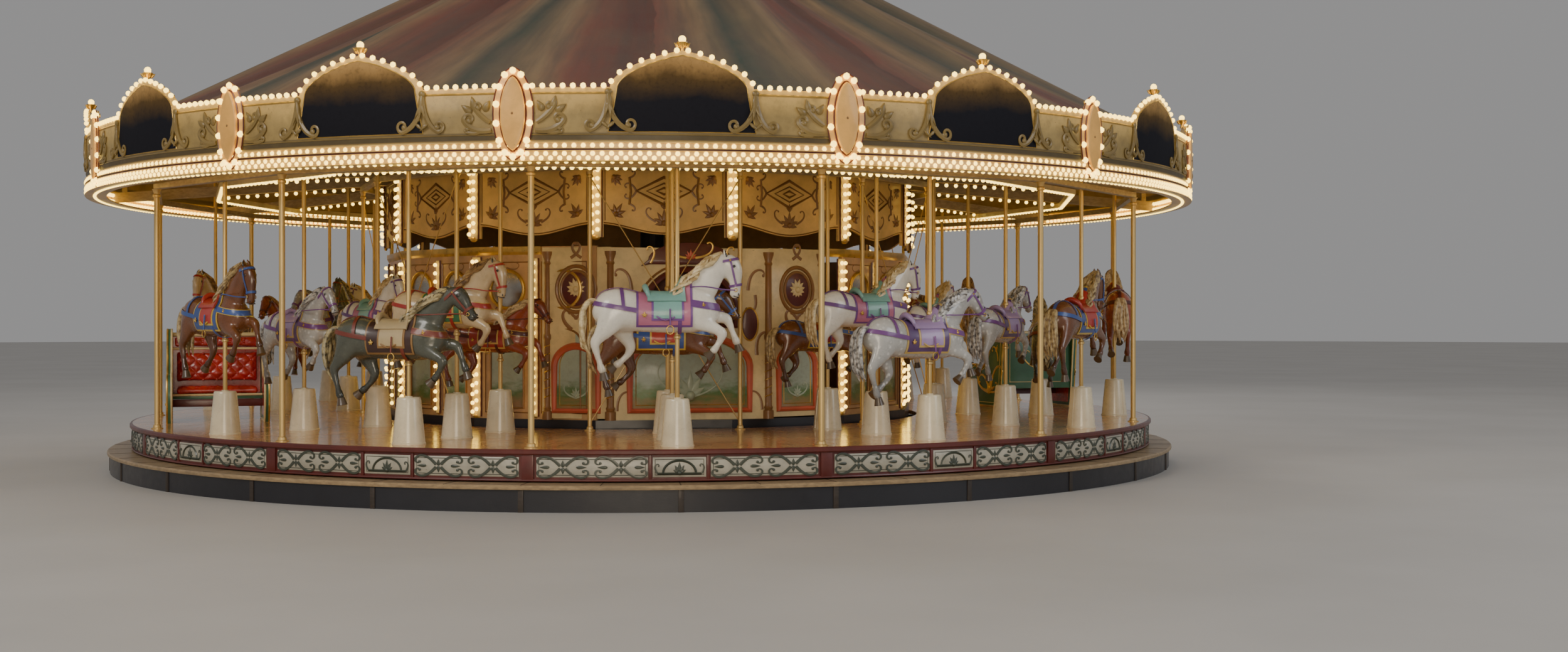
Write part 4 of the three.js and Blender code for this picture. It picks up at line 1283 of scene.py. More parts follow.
class CAROUSEL_OT_lamps(bpy.types.Operator):
    """Screws in the lamps of the boards, shields, rail, sweeps and rings"""

    bl_idname = "carousel.lamps"
    bl_label = "Lamps"

    def execute(self, context):
        sizes = context.scene.carousel_sizes
        bulb = sizes.bulb
        self.on_boards(sizes)
        self.on_shields(bulb)
        pitch = sizes.rail_pitch
        front, back = RAIL_R - bulb * 2.12, BOARD_R - BOARD_THICK
        rail = [round_ring(front, z, pitch, OUTWARDS, ROUND) for z in RAIL_LAMPS_Z]
        between_them = [place @ moved(pitch / 2, 0, 0) for place in rail[2]]
        lamps("rail_lamps", bulb, rail[0] + rail[1] + between_them, TURNTABLE)
        inside = [place for z in INSIDE_LAMPS_Z for place in round_ring(back, z, pitch, INWARDS, ROUND)]
        lamps("inside_lamps", bulb, inside, TURNTABLE)
        lamps("soffit_lamps", bulb, round_ring(SOFFIT_R, 3.160, pitch, DOWNWARDS, ROUND), TURNTABLE)
        strip = spaced(INNER_POLE_R + 0.12, LIGHT_RING_R - 0.12, sizes.strip_pitch)
        below = [at_bearing(deg, r, sweep_z(r) - 0.001) @ DOWNWARDS for deg in BOUNDARIES for r in strip]
        below += round_ring(LIGHT_RING_R, sweep_z(LIGHT_RING_R) - 0.035, pitch, DOWNWARDS)
        lamps("ceiling_lamps", bulb, below, TURNTABLE)
        return {"FINISHED"}

    def on_boards(self, sizes):
        straight = spaced(CREST_HALF + 0.055, BOARD_HALF - 0.17, sizes.lamp_pitch)
        places = [(x * hand, CORNICE_TOP + 0.006) for x in straight for hand in (1, -1)]
        fine = crest_line(CREST_HALF, CREST_RISE, 240)
        run = [0.0]
        for a, b in zip(fine, fine[1:]):
            run.append(run[-1] + math.dist(a, b))
        on_crest = 14
        for k in range(on_crest):
            share = 0.03 + 0.94 * k / (on_crest - 1)
            places.append(min(zip(run, fine), key=lambda pair: abs(pair[0] - share * run[-1]))[1])
        front = BOARD_R - 0.030
        bearings = [(deg + math.degrees(x / CORNICE_R), z) for deg in RANKS for x, z in places]
        spots = [at_bearing(deg, front, z) @ turned(74, "X") for deg, z in bearings]
        lamps("board_lamps", sizes.bulb * 1.12, spots, TURNTABLE)

        crest_z = CORNICE_TOP + CREST_RISE
        cup = spun(
            [(0, crest_z - 0.02), (0.024, crest_z - 0.02), (0.014, crest_z + 0.02),
             (0.040, crest_z + 0.045), (0.052, crest_z + 0.075), (0.044, crest_z + 0.080),
             (0, crest_z + 0.065)], 16)
        petals = [turned(k * 60, "Z") @ moved(0.02, 0, crest_z + 0.035) @ turned(55, "Y") for k in range(6)]
        petal = leaf(0.065, 0.042, 0.006)
        finials = Piece()
        bulb, _ = bulb_shapes(sizes.crest_bulb)
        for deg in RANKS:
            place = at_bearing(deg, BOARD_R - 0.045)
            finials.add(cup, "gold", place)
            finials.add(petal, "gold", *[place @ p for p in petals])
            finials.add(bulb, "lamp", place @ moved(0, 0, crest_z + 0.062))
        finials.finish("crest_finials", TURNTABLE, "gilt", smooth_deg=70)

    def on_shields(self, bulb):
        places = []
        for k in range(14):
            turn = 2 * math.pi * k / 14
            x = (SHIELD_HALF - 0.030) * math.copysign(abs(math.sin(turn)) ** 0.9, math.sin(turn))
            places.append((x, SHIELD_Z + (SHIELD_TALL - 0.030) * math.cos(turn)))
        front = CORNICE_R - 0.038
        fronts = [at_bearing(deg, front) for deg in BOUNDARIES]
        spots = [place @ moved(x, 0, z) @ OUTWARDS for place in fronts for x, z in places]
        lamps("shield_lamps", bulb * 1.35, spots, TURNTABLE)


# Canopy and crown


class CAROUSEL_OT_canopy(bpy.types.Operator):
    """Stretches the striped cloth over the rafters, sagging and pleated between them"""

    bl_idname = "carousel.canopy"
    bl_label = "Canopy"

    def execute(self, context):
        sag = context.scene.carousel_sizes.canopy_sag
        rings, steps = 30, SECTIONS * 24
        profile = []
        for i in range(rings + 1):
            radius = CANOPY_HOLE_R + (CANOPY_R - CANOPY_HOLE_R) * i / rings
            profile.append((radius, canopy_z(radius)))
        bm = bmesh.new()
        bm.from_mesh(spun(profile, steps, start_deg=BOUNDARY_DEG - 90))
        for vert in bm.verts:
            x, y, _ = vert.co
            radius = math.hypot(x, y)
            bearing = math.degrees(math.atan2(x, -y)) - BOUNDARY_DEG
            seat = math.degrees(0.026 / radius)
            phase = min(1, max(0, (bearing % STEP_DEG - seat) / (STEP_DEG - 2 * seat)))
            share = min(1, max(0, (radius - SAG_START_R) / (CANOPY_R - SAG_START_R)))
            hang = math.sin(math.pi * phase) ** 0.8 * math.sin(math.pi * share ** 0.9)
            pleat = math.cos(2 * math.pi * 4 * phase + 1.3 * math.sin(4 * share)) - 1
            fine = math.cos(2 * math.pi * 9 * phase + 2 * share) - 1
            fade = math.sin(math.pi * share) ** 0.6 * math.sin(math.pi * phase) ** 0.5
            vert.co.z -= sag * hang - 0.026 * pleat * fade - 0.008 * fine * fade
        if sum(face.normal.z for face in bm.faces) < 0:
            bmesh.ops.reverse_faces(bm, faces=bm.faces[:])
        mesh = as_mesh(bm)
        cloth = place_piece(
            "striped_canopy", mesh, [finishes["cloth"]], TURNTABLE, ["canopy"], 60
        )
        thick = cloth.modifiers.new("Thickness", "SOLIDIFY")
        thick.thickness = 0.004
        thick.offset = -1
        return {"FINISHED"}


class CAROUSEL_OT_crown(bpy.types.Operator):
    """Turns the gilded crown on the canopy's peak"""

    bl_idname = "carousel.crown"
    bl_label = "Crown"

    def execute(self, context):
        low = CANOPY_PEAK_Z
        skirt = [
            (0, low), (0.36, low), (0.36, low + 0.018), (0.335, low + 0.04), (0.27, low + 0.07),
            (0.19, low + 0.12), (0.13, low + 0.185), (0, low + 0.185),
        ]
        urn = [
            (0, low + 0.185), (0.135, low + 0.185), (0.135, low + 0.2), (0.07, low + 0.225),
            (0.06, low + 0.265), (0.105, low + 0.32), (0.122, low + 0.365), (0.105, low + 0.41),
            (0.05, low + 0.445), (0.035, low + 0.47), (0.045, low + 0.49), (0.02, low + 0.53),
            (0.008, low + 0.615), (0, low + 0.62),
        ]
        piece = Piece()
        piece.add(spun(skirt, 42), "oxblood")
        piece.add(spun(urn, 42), "gold")
        bead = ball(0.016, 8, 5)
        places = [at_bearing(k * 360 / 28, 0.35, low + 0.028) for k in range(28)]
        piece.add(bead, "gold", *places)
        petal = leaf(0.17, 0.075, 0.008)
        leaves = [at_bearing(k * 360 / 14, 0.27, low + 0.065) @ turned(52, "X") for k in range(14)]
        piece.add(petal, "gold", *leaves)
        piece.finish("crown_dressed", TURNTABLE, "gilt", ["roof_crown"])
        return {"FINISHED"}


# Drum and house


def lamp_bar(piece, place, wide, low, high):
    """A cream bar with dark red edges that carries a column of lamps."""
    tall = high - low
    piece.add(board(wide, tall, 0.022, 0.004), "cream", place @ moved(0, 0, (low + high) / 2))
    edge = tube([(wide / 2, -0.012, low), (wide / 2, -0.012, high)], 0.011, 6)
    piece.add(both_sides(edge), "oxblood", place)
    piece.add(ball(wide * 0.42, 10, 6), "gold", place @ moved(0, -0.006, low) @ sized(1, 0.4, 0.6))


def bar_lamps(place, wide, low, high, columns):
    """Places of the lamps on such a bar."""
    spots = []
    offsets = (-wide * 0.23, wide * 0.23) if columns == 2 else (0,)
    for k, x in enumerate(offsets):
        for z in spaced(low + 0.05 + 0.03 * k, high - 0.05, 0.095):
            spots.append(place @ moved(x, -0.022, z) @ OUTWARDS)
    return spots


class CAROUSEL_OT_valance(bpy.types.Operator):
    """Builds the drum's scalloped valance with its lozenges, palmettes and lamp bars"""

    bl_idname = "carousel.valance"
    bl_label = "Drum valance"

    def execute(self, context):
        half = DRUM_HALF - 0.004
        low = DRUM_LOW - 0.03
        outline = [(half, DRUM_TOP), (-half, DRUM_TOP), (-half, low), (0.085 - half, low)]
        waves = 22
        for i in range(waves + 1):
            share = i / waves
            drop = (1 - math.cos(2 * math.pi * share)) / 2
            outline.append(((share - 0.5) * 2 * (half - 0.085), DRUM_LOW + 0.11 * (1 - drop ** 0.8)))
        outline += [(half - 0.085, low), (half, low)]
        plate = slab(outline, 0.034, 0.004)
        hem = [(x, -0.036, z + 0.016) for x, z in outline[4:-2]]
        hem_bar = tube(hem, 0.007, 4)
        motifs = self.motifs()
        line = half - 0.10
        corners = ((-line, 2.80), (-line, 3.36), (line, 3.36), (line, 2.80))
        frame_line = tube([(x, -0.036, z) for x, z in corners], 0.005, 4)
        piece = Piece()
        spots = []
        for deg in RANKS:
            back = at_bearing(deg, DRUM_FACE - 0.04)
            piece.add(plate, "ochre", back)
            piece.add(hem_bar, "umber", back)
            piece.add(frame_line, "umber", back)
            piece.add(motifs, "umber", back @ moved(0, -0.0355, 0))
        for deg in BOUNDARIES:
            place = at_bearing(deg, DRUM_R - 0.014)
            lamp_bar(piece, place, 0.135, low, DRUM_TOP - 0.01)
            spots += bar_lamps(place, 0.135, low, DRUM_TOP - 0.01, 2)
        piece.finish("drum_valance_dressed", TURNTABLE, "panel_gold", ["drum_valance"])
        lamps("drum_lamps", context.scene.carousel_sizes.bulb * 1.05, spots, TURNTABLE)
        return {"FINISHED"}

    def motifs(self):
        """The raised brown ornament of one panel."""
        def lozenge(wide, tall, bar):
            return line_of([(-wide, 3.12), (0, 3.12 + tall), (wide, 3.12), (0, 3.12 - tall)], bar, 4)

        parts = [lozenge(0.30, 0.15, 0.018), lozenge(0.19, 0.085, 0.010), lozenge(0.08, 0.036, 0.014)]
        wide_fan = placed(fan(7, 200, 0.16, 0.055, 0.006), moved(0, 0, 2.775))
        bud = placed(fan(5, 120, 0.075, 0.034, 0.005), moved(0, 0, 2.945))
        parts += [wide_fan, bud]
        stem = tube([(0.375, 0, 2.97), (0.36, 0, 3.12), (0.375, 0, 3.27)], 0.014, 4)
        swirls = [
            scroll((0.375, 2.98), 200, 0.13, 0.6, 0.014, 0.4, 10),
            scroll((0.375, 3.26), -200, 0.13, -0.6, 0.014, 0.4, 10),
            scroll((0.30, 3.12), 62, 0.20, -0.62, 0.014, 0.4, 14),
            scroll((0.30, 3.12), -62, 0.20, 0.62, 0.014, 0.4, 14),
            scroll((0.09, 2.79), 25, 0.24, 0.60, 0.014, 0.4, 14),
        ]
        corner = placed(fan(5, 170, 0.14, 0.052, 0.006), moved(0.52, 0, 2.87) @ turned(-30, "Y"))
        top_corner = placed(fan(5, 120, 0.12, 0.048, 0.006), moved(0.54, 0, 3.27) @ turned(-140, "Y"))
        parts.append(both_sides(welded([stem, *swirls, corner, top_corner])))
        return welded(parts)


class CAROUSEL_OT_house(bpy.types.Operator):
    """Builds the house round the mast: panels, round mirrors and bars of lamps"""

    bl_idname = "carousel.house"
    bl_label = "House"

    def execute(self, context):
        face = HOUSE_R * math.cos(HALF_STEP)
        half = HOUSE_R * math.sin(HALF_STEP)
        piece = Piece()
        mirrors = Piece()
        spots = []
        wall = board(2 * half, HOUSE_TOP - HOUSE_LOW - 0.001, 0.045)
        cornice = [
            (HOUSE_R - 0.045, HOUSE_TOP - 0.09), (HOUSE_R + 0.004, HOUSE_TOP - 0.09),
            (HOUSE_R + 0.012, HOUSE_TOP - 0.07), (HOUSE_R + 0.024, HOUSE_TOP - 0.05),
            (HOUSE_R + 0.024, HOUSE_TOP), (HOUSE_R - 0.045, HOUSE_TOP),
        ]
        middle = (HOUSE_TOP + HOUSE_LOW) / 2
        panel = welded([self.panel(-1), self.panel(1)])
        picture = slab(self.window(), 0.008, 0.004)
        for deg in RANKS:
            turn = (deg - ORGAN_DEG + 180) % 360 - 180
            if abs(turn) < 30:
                continue
            back = at_bearing(deg, face - 0.045)
            front = at_bearing(deg, face)
            piece.add(wall, "tan", back @ moved(0, 0, middle))
            lamp_bar(piece, front, 0.075, HOUSE_LOW + 0.03, HOUSE_TOP - 0.13)
            spots += bar_lamps(front, 0.075, HOUSE_LOW + 0.03, HOUSE_TOP - 0.13, 1)
            piece.add(panel, "umber", front)
            for hand in (-1, 1):
                x = PANEL_X * hand
                piece.add(picture, "picture", front @ moved(x, 0, 0))
                ring_line = line_of(oval(0.205, 0.205, MEDALLION_Z, 32), 0.020, 8)
                piece.add(ring_line, "gold", front @ moved(x, -0.012, 0))
                disc = slab(oval(0.198, 0.198, MEDALLION_Z, 32), 0.012, 0.004)
                mirrors.add(disc, "mirror", front @ moved(x, 0, 0))
        for deg in BOUNDARIES:
            turn = (deg - ORGAN_DEG + 180) % 360 - 180
            if abs(turn) < 25:
                continue
            place = at_bearing(deg, HOUSE_R - 0.018)
            lamp_bar(piece, place, 0.125, HOUSE_LOW + 0.02, HOUSE_TOP - 0.11)
            spots += bar_lamps(place, 0.125, HOUSE_LOW + 0.02, HOUSE_TOP - 0.11, 2)
        self.cut_cornice(piece, cornice)
        piece.finish("house_panels", GROUND, "panel_gold", ["house_walls"])
        mirrors.finish("house_mirrors", GROUND, "panel_gold")
        lamps("house_lamps", context.scene.carousel_sizes.bulb, spots, GROUND)
        return {"FINISHED"}

    def cut_cornice(self, piece, profile):
        """The top moulding, left open where the organ stands."""
        bm = bmesh.new()
        bm.from_mesh(ring(profile))
        for deg in (-ORGAN_REACH_DEG, ORGAN_REACH_DEG):
            hand = math.copysign(1, deg)
            normal = at_bearing(ORGAN_DEG + deg).to_3x3() @ Vector((hand, 0, 0))
            ahead = at_bearing(ORGAN_DEG).to_3x3() @ Vector((0, -1, 0))
            front = [f for f in bm.faces if f.calc_center_median().dot(ahead) > 0.5]
            edges = {edge for face in front for edge in face.edges}
            verts = {vert for face in front for vert in face.verts}
            bmesh.ops.bisect_plane(bm, geom=[*front, *edges, *verts], plane_co=(0, 0, 0), plane_no=normal)
        gone = []
        for face in bm.faces:
            centre = face.calc_center_median()
            turn = math.degrees(math.atan2(centre.x, -centre.y)) - ORGAN_DEG
            if abs((turn + 180) % 360 - 180) < ORGAN_REACH_DEG:
                gone.append(face)
        bmesh.ops.delete(bm, geom=gone, context="FACES")
        bmesh.ops.holes_fill(bm, edges=[e for e in bm.edges if e.is_boundary], sides=12)
        piece.add(outward(bm), "gold")

    def window(self):
        """The outline of the painted panel under a mirror."""
        return [(-0.19, 0.76), (0.19, 0.76), (0.19, 1.50), *arch(0.19, 0.13, 1.50, 14)[1:-1], (-0.19, 1.50)]

    def panel(self, hand):
        """The mouldings round one half panel, hand being its side."""
        window = [(x * 1.06, z) for x, z in self.window()]
        long_frame = [(-0.27, 0.71), (0.27, 0.71), (0.27, 2.36), (-0.27, 2.36)]
        parts = [line_of(window, 0.012, 6, -0.008), line_of(long_frame, 0.008, 4, -0.004)]
        swirl = both_sides(scroll((0.02, 1.72), 20, 0.26, 0.60, 0.012, 0.5, 16))
        crest = placed(fan(5, 140, 0.10, 0.034, 0.006), moved(0, 0, 1.70))
        top = both_sides(scroll((0.0, 2.30), 200, 0.20, -0.55, 0.009, 0.5, 14))
        parts += [swirl, crest, top]
        return welded(parts, moved(PANEL_X * hand, -0.002, 0))


class CAROUSEL_OT_organ(bpy.types.Operator):
    """Builds the organ front: cream boards, turned columns, pipes, medallions and arched panels"""

    bl_idname = "carousel.organ"
    bl_label = "Organ front"

    def execute(self, context):
        place = at_bearing(ORGAN_DEG)
        low, top = HOUSE_LOW + GAP, HOUSE_TOP
        piece = Piece()
        front = place @ moved(0, -(ORGAN_FACE - 0.05), 0)
        arch_half, spring = 0.50, 1.86
        opening = arch(arch_half, 0.42, spring, 22)
        right = [(0.0, low), (ORGAN_HALF, low), (ORGAN_HALF, top - 0.02), (0.0, top - 0.02)]
        right.append((0.0, spring + 0.42))
        right += [*reversed(opening[: len(opening) // 2]), (arch_half, 1.66), (0.0, 1.66)]
        half_board = slab(right, 0.05)
        piece.add(half_board, "cream", front)
        piece.add(half_board, "cream", front @ sized(-1, 1, 1))
        arch_line = [(arch_half, 1.66), *opening, (-arch_half, 1.66)]
        face = front @ moved(0, -0.052, 0)
        piece.add(line_of(arch_line, 0.034, 8), "oxblood", face)
        wide_line = [(x * 1.12, 1.63 + (z - 1.66) * 1.12 + 0.02) for x, z in arch_line]
        piece.add(line_of(wide_line, 0.014, 6), "umber", face)
        chamber = slab([(-0.6, 1.55), (0.6, 1.55), (0.6, 2.36), (-0.6, 2.36)], 0.01)
        piece.add(chamber, "oxblood", place @ moved(0, -(ORGAN_FACE - 0.30), 0))
        sides = board(0.25, 0.8, 0.01)
        for hand in (-1, 1):
            wall = place @ moved(0.6 * hand, -(ORGAN_FACE - 0.175), 1.95) @ turned(90, "Z")
            piece.add(sides, "oxblood", wall)
        shelf = block(1.2, 0.26, 0.02)
        piece.add(shelf, "umber", place @ moved(0, -(ORGAN_FACE - 0.18), 1.65))
        self.pipes(piece, place)
        self.lower_panels(piece, face)
        self.wings(piece, place, low, top)
        self.columns(piece, place, low, top)
        self.crest(piece, place, top)
        piece.finish("organ_dressed", GROUND, "cream_paint", ["organ_front"])
        return {"FINISHED"}

    def pipes(self, piece, place):
        """A rank of gilded pipes behind the arch, the middle ones the tallest."""
        count = 13
        for k in range(count):
            share = 2 * k / (count - 1) - 1
            x = 0.46 * share
            high = 2.16 - 0.30 * share * share
            pipe = spun(
                [(0, 1.66), (0.012, 1.66), (0.030, 1.74), (0.030, 1.755), (0.030, high), (0.022, high),
                 (0.022, high - 0.03), (0, high - 0.03)], 12)
            spot = place @ moved(x, -(ORGAN_FACE - 0.12 - 0.05 * abs(share)), 0)
            piece.add(pipe, "gold", spot)
            mouth = slab([(-0.012, 1.78), (0.012, 1.78), (0.0, 1.83)], 0.004)
            piece.add(mouth, "umber", spot @ moved(0, -0.0285, 0))

    def arched_picture(self, piece, place, half, spring, rise):
        """A pale panel under a coral arch."""
        outline = [(-half, PANEL_LOW), (half, PANEL_LOW), *arch(half, rise, spring, 18)]
        piece.add(slab(outline, 0.006, 0.003), "picture", place)
        piece.add(line_of(outline, 0.042, 8), "coral", place @ moved(0, 0.004, 0))
        narrow = 1 - 0.065 / half
        inner = [(x * narrow, PANEL_LOW + 0.06 + (z - PANEL_LOW) * 0.89) for x, z in outline]
        piece.add(line_of(inner, 0.006, 4), "gold", place @ moved(0, -0.007, 0))
        urn = placed(fan(5, 120, half * 0.42, half * 0.14, 0.006), moved(0, 0, PANEL_LOW + 0.16))
        sweep = both_sides(scroll((0, PANEL_LOW + 0.14), 15, half * 1.1, 0.7, 0.011, 0.5, 18))
        piece.add(welded([urn, sweep]), "sage", place @ moved(0, -0.010, 0))

    def lower_panels(self, piece, face):
        self.arched_picture(piece, face, 0.66, 1.22, 0.34)
        swirls = [
            scroll((0.74, 1.34), 95, 0.40, -0.62, 0.024, 0.5, 18),
            scroll((0.80, PANEL_LOW), 92, 0.34, 0.60, 0.018, 0.5, 16),
            scroll((0.64, 2.05), 85, 0.38, -0.60, 0.022, 0.5, 18),
            scroll((0.72, 2.00), -80, 0.30, -0.62, 0.020, 0.5, 16),
        ]
        piece.add(both_sides(welded(swirls)), "umber", face)
        jewel = slab(oval(0.085, 0.17, 1.68, 24), 0.012, 0.006)
        rim = line_of(oval(0.092, 0.178, 1.68, 24), 0.012, 6)
        for hand in (-1, 1):
            spot = face @ moved(0.66 * hand, 0, 0)
            piece.add(jewel, "oxblood", spot)
            piece.add(rim, "gold", spot)

    def wings(self, piece, place, low, top):
        """The slanting wings with their round medallions."""
        run_x, run_y = WING_X - ORGAN_HALF, WING_Y - ORGAN_FACE
        wide = math.hypot(run_x, run_y)
        slant = math.degrees(math.atan2(-run_y, run_x))
        for hand in (-1, 1):
            centre = moved(hand * (ORGAN_HALF + WING_X) / 2, -(ORGAN_FACE + WING_Y) / 2, 0)
            spot = place @ centre @ turned(slant * hand, "Z")
            back = spot @ moved(0, 0.05, (low + top) / 2)
            piece.add(board(wide, top - low - 0.03, 0.05, 0.003), "cream", back)
            front = spot @ moved(0, -0.002, 0)
            self.arched_picture(piece, front, 0.25, 1.22, 0.22)
            piece.add(slab(oval(0.165, 0.19, MEDALLION_Z, 32), 0.008, 0.004), "oxblood", front)
            piece.add(line_of(oval(0.172, 0.197, MEDALLION_Z, 32), 0.018, 8), "umber", front)
            piece.add(line_of(oval(0.222, 0.25, MEDALLION_Z, 32), 0.022, 8), "umber", front)
            rose = placed(fan(12, 330, 0.13, 0.062, 0.008), moved(0, -0.010, MEDALLION_Z))
            piece.add(rose, "cream", front)
            swirls = [
                scroll((0.05, 1.62), 40, 0.32, 0.64, 0.026, 0.5, 18),
                scroll((0.06, 2.40), 150, 0.26, -0.62, 0.020, 0.5, 16),
                scroll((0.02, 1.74), 150, 0.24, -0.62, 0.020, 0.5, 16),
            ]
            piece.add(both_sides(welded(swirls)), "umber", front)

    def columns(self, piece, place, low, top):
        cap = top - 0.06
        profile = [
            (0, low), (0.060, low), (0.060, low + 0.09), (0.044, low + 0.10), (0.052, low + 0.125),
            (0.040, low + 0.15), (0.040, 1.50), (0.050, 1.52), (0.050, 1.56), (0.040, 1.58),
            (0.036, cap - 0.15), (0.048, cap - 0.13), (0.038, cap - 0.10), (0.060, cap - 0.03),
            (0.062, cap), (0, cap),
        ]
        post = spun(profile, 20)
        turns = 7
        spiral = [
            (0.041 * math.cos(a), 0.041 * math.sin(a), 0.83 + 0.64 * a / (2 * math.pi * turns))
            for a in [2 * math.pi * turns * i / (turns * 16) for i in range(turns * 16 + 1)]
        ]
        twist = tube(spiral, 0.006, 4)
        spots = ((ORGAN_HALF, ORGAN_FACE - 0.01), (WING_X - 0.06, WING_Y + 0.005))
        for x, out in spots:
            for hand in (-1, 1):
                piece.add(post, "umber", place @ moved(x * hand, -out, 0))
                piece.add(twist, "gold", place @ moved(x * hand, -out, 0))

    def crest(self, piece, place, top):
        outline = [(-0.54, top - 0.22), (-0.44, top - 0.20), (0.44, top - 0.20), (0.54, top - 0.22)]
        outline += arch(0.46, 0.19, top - 0.15, 18)
        front = place @ moved(0, -(ORGAN_FACE - 0.012), 0)
        piece.add(slab(outline, 0.05, 0.008), "oxblood", front)
        swirls = both_sides(welded(
            [scroll((0.05, top - 0.13), 8, 0.34, 0.60, 0.016, 0.5, 18),
             scroll((0.44, top - 0.19), 120, 0.26, -0.62, 0.014, 0.5, 16)]))
        piece.add(swirls, "gold", front @ moved(0, -0.052, 0))
        shell = placed(fan(7, 170, 0.10, 0.036, 0.006), moved(0, 0, top - 0.13))
        piece.add(shell, "coral", front @ moved(0, -0.054, 0))


# Horses


ROLES = ("coat", "mane", "saddle", "cloth", "trim", "strap", "hoof", "eye", "gilt")
BODY = (
    (-0.775, 0, 0.06, 0.06, 0.05), (-0.74, 0, 0.05, 0.125, 0.1), (-0.66, 0, 0.035, 0.175, 0.145),
    (-0.54, 0, 0.02, 0.2, 0.165), (-0.38, 0, 0, 0.182, 0.152), (-0.2, 0, -0.015, 0.175, 0.148),
    (0, 0, -0.015, 0.18, 0.156), (0.14, 0, 0, 0.195, 0.155), (0.25, 0, 0.03, 0.19, 0.135),
    (0.33, 0, 0.06, 0.13, 0.1), (0.37, 0, 0.08, 0.05, 0.05),
)
TUCKED_NECK = (
    (0.12, 0, 0.1, 0.16, 0.11), (0.22, 0, 0.24, 0.165, 0.085), (0.31, 0, 0.36, 0.135, 0.07),
    (0.39, 0, 0.45, 0.105, 0.062), (0.455, 0, 0.49, 0.08, 0.055),
)
TUCKED_HEAD = (
    (0.44, 0, 0.49, 0.07, 0.055), (0.5, 0, 0.44, 0.095, 0.062), (0.53, 0, 0.36, 0.085, 0.056),
    (0.545, 0, 0.27, 0.058, 0.043), (0.545, 0, 0.2, 0.05, 0.04), (0.535, 0, 0.155, 0.046, 0.04),
    (0.53, 0, 0.13, 0.022, 0.022),
)
REACHING_NECK = (
    (0.12, 0, 0.1, 0.16, 0.11), (0.23, 0, 0.22, 0.16, 0.085), (0.33, 0, 0.33, 0.125, 0.07),
    (0.42, 0, 0.4, 0.1, 0.062), (0.48, 0, 0.425, 0.08, 0.055),
)
REACHING_HEAD = (
    (0.455, 0, 0.435, 0.07, 0.055), (0.53, 0, 0.41, 0.093, 0.062), (0.58, 0, 0.355, 0.085, 0.056),
    (0.63, 0, 0.29, 0.06, 0.044), (0.672, 0, 0.235, 0.05, 0.04), (0.695, 0, 0.205, 0.046, 0.04),
    (0.715, 0, 0.185, 0.022, 0.022),
)
# Each leg from the body to the fetlock, then where its hoof stands
HIND_STRETCHED = (
    (-0.52, -0.075, 0.06, 0.17, 0.085), (-0.6, -0.085, -0.04, 0.145, 0.078),
    (-0.665, -0.09, -0.15, 0.098, 0.06), (-0.73, -0.09, -0.235, 0.062, 0.044),
    (-0.765, -0.09, -0.285, 0.05, 0.038), (-0.748, -0.09, -0.38, 0.033, 0.029),
    (-0.72, -0.09, -0.47, 0.029, 0.027), (-0.705, -0.09, -0.52, 0.041, 0.036),
    (-0.685, -0.09, -0.565, 0.034, 0.032),
)
HIND_BENT = (
    (-0.5, 0.075, 0.06, 0.17, 0.085), (-0.545, 0.085, -0.06, 0.14, 0.078), (-0.5, 0.09, -0.18, 0.1, 0.06),
    (-0.455, 0.09, -0.27, 0.064, 0.046), (-0.43, 0.09, -0.33, 0.052, 0.039),
    (-0.46, 0.09, -0.4, 0.035, 0.03), (-0.515, 0.09, -0.455, 0.03, 0.027),
    (-0.55, 0.09, -0.485, 0.04, 0.035), (-0.585, 0.09, -0.51, 0.034, 0.031),
)
FORE_FOLDED = (
    (0.17, -0.07, 0.03, 0.13, 0.07), (0.2, -0.08, -0.07, 0.105, 0.062),
    (0.29, -0.085, -0.125, 0.07, 0.048), (0.37, -0.085, -0.165, 0.054, 0.042),
    (0.415, -0.085, -0.2, 0.05, 0.041), (0.4, -0.085, -0.255, 0.037, 0.032),
    (0.368, -0.085, -0.31, 0.03, 0.027), (0.342, -0.085, -0.35, 0.04, 0.035),
    (0.315, -0.085, -0.38, 0.033, 0.03),
)
FORE_REACHING = (
    (0.2, 0.07, 0.03, 0.13, 0.07), (0.25, 0.08, -0.03, 0.105, 0.062), (0.34, 0.085, -0.045, 0.072, 0.05),
    (0.43, 0.085, -0.05, 0.056, 0.043), (0.475, 0.085, -0.07, 0.051, 0.042),
    (0.505, 0.085, -0.135, 0.036, 0.031), (0.535, 0.085, -0.21, 0.03, 0.027),
    (0.557, 0.085, -0.265, 0.041, 0.036), (0.575, 0.085, -0.31, 0.034, 0.031),
)


def eased(stations, steps=3):
    """Stations with smooth ones put in between."""
    made = []
    count = len(stations)
    for i in range(count - 1):
        before, a = stations[max(i - 1, 0)], stations[i]
        b, after = stations[i + 1], stations[min(i + 2, count - 1)]
        for k in range(steps):
            t = k / steps
            made.append(tuple(
                0.5 * (2 * q + (r - p) * t + (2 * p - 5 * q + 4 * r - s) * t * t
                       + (3 * q - p - 3 * r + s) * t ** 3)
                for p, q, r, s in zip(before, a, b, after)
            ))
    made.append(stations[-1])
    return made


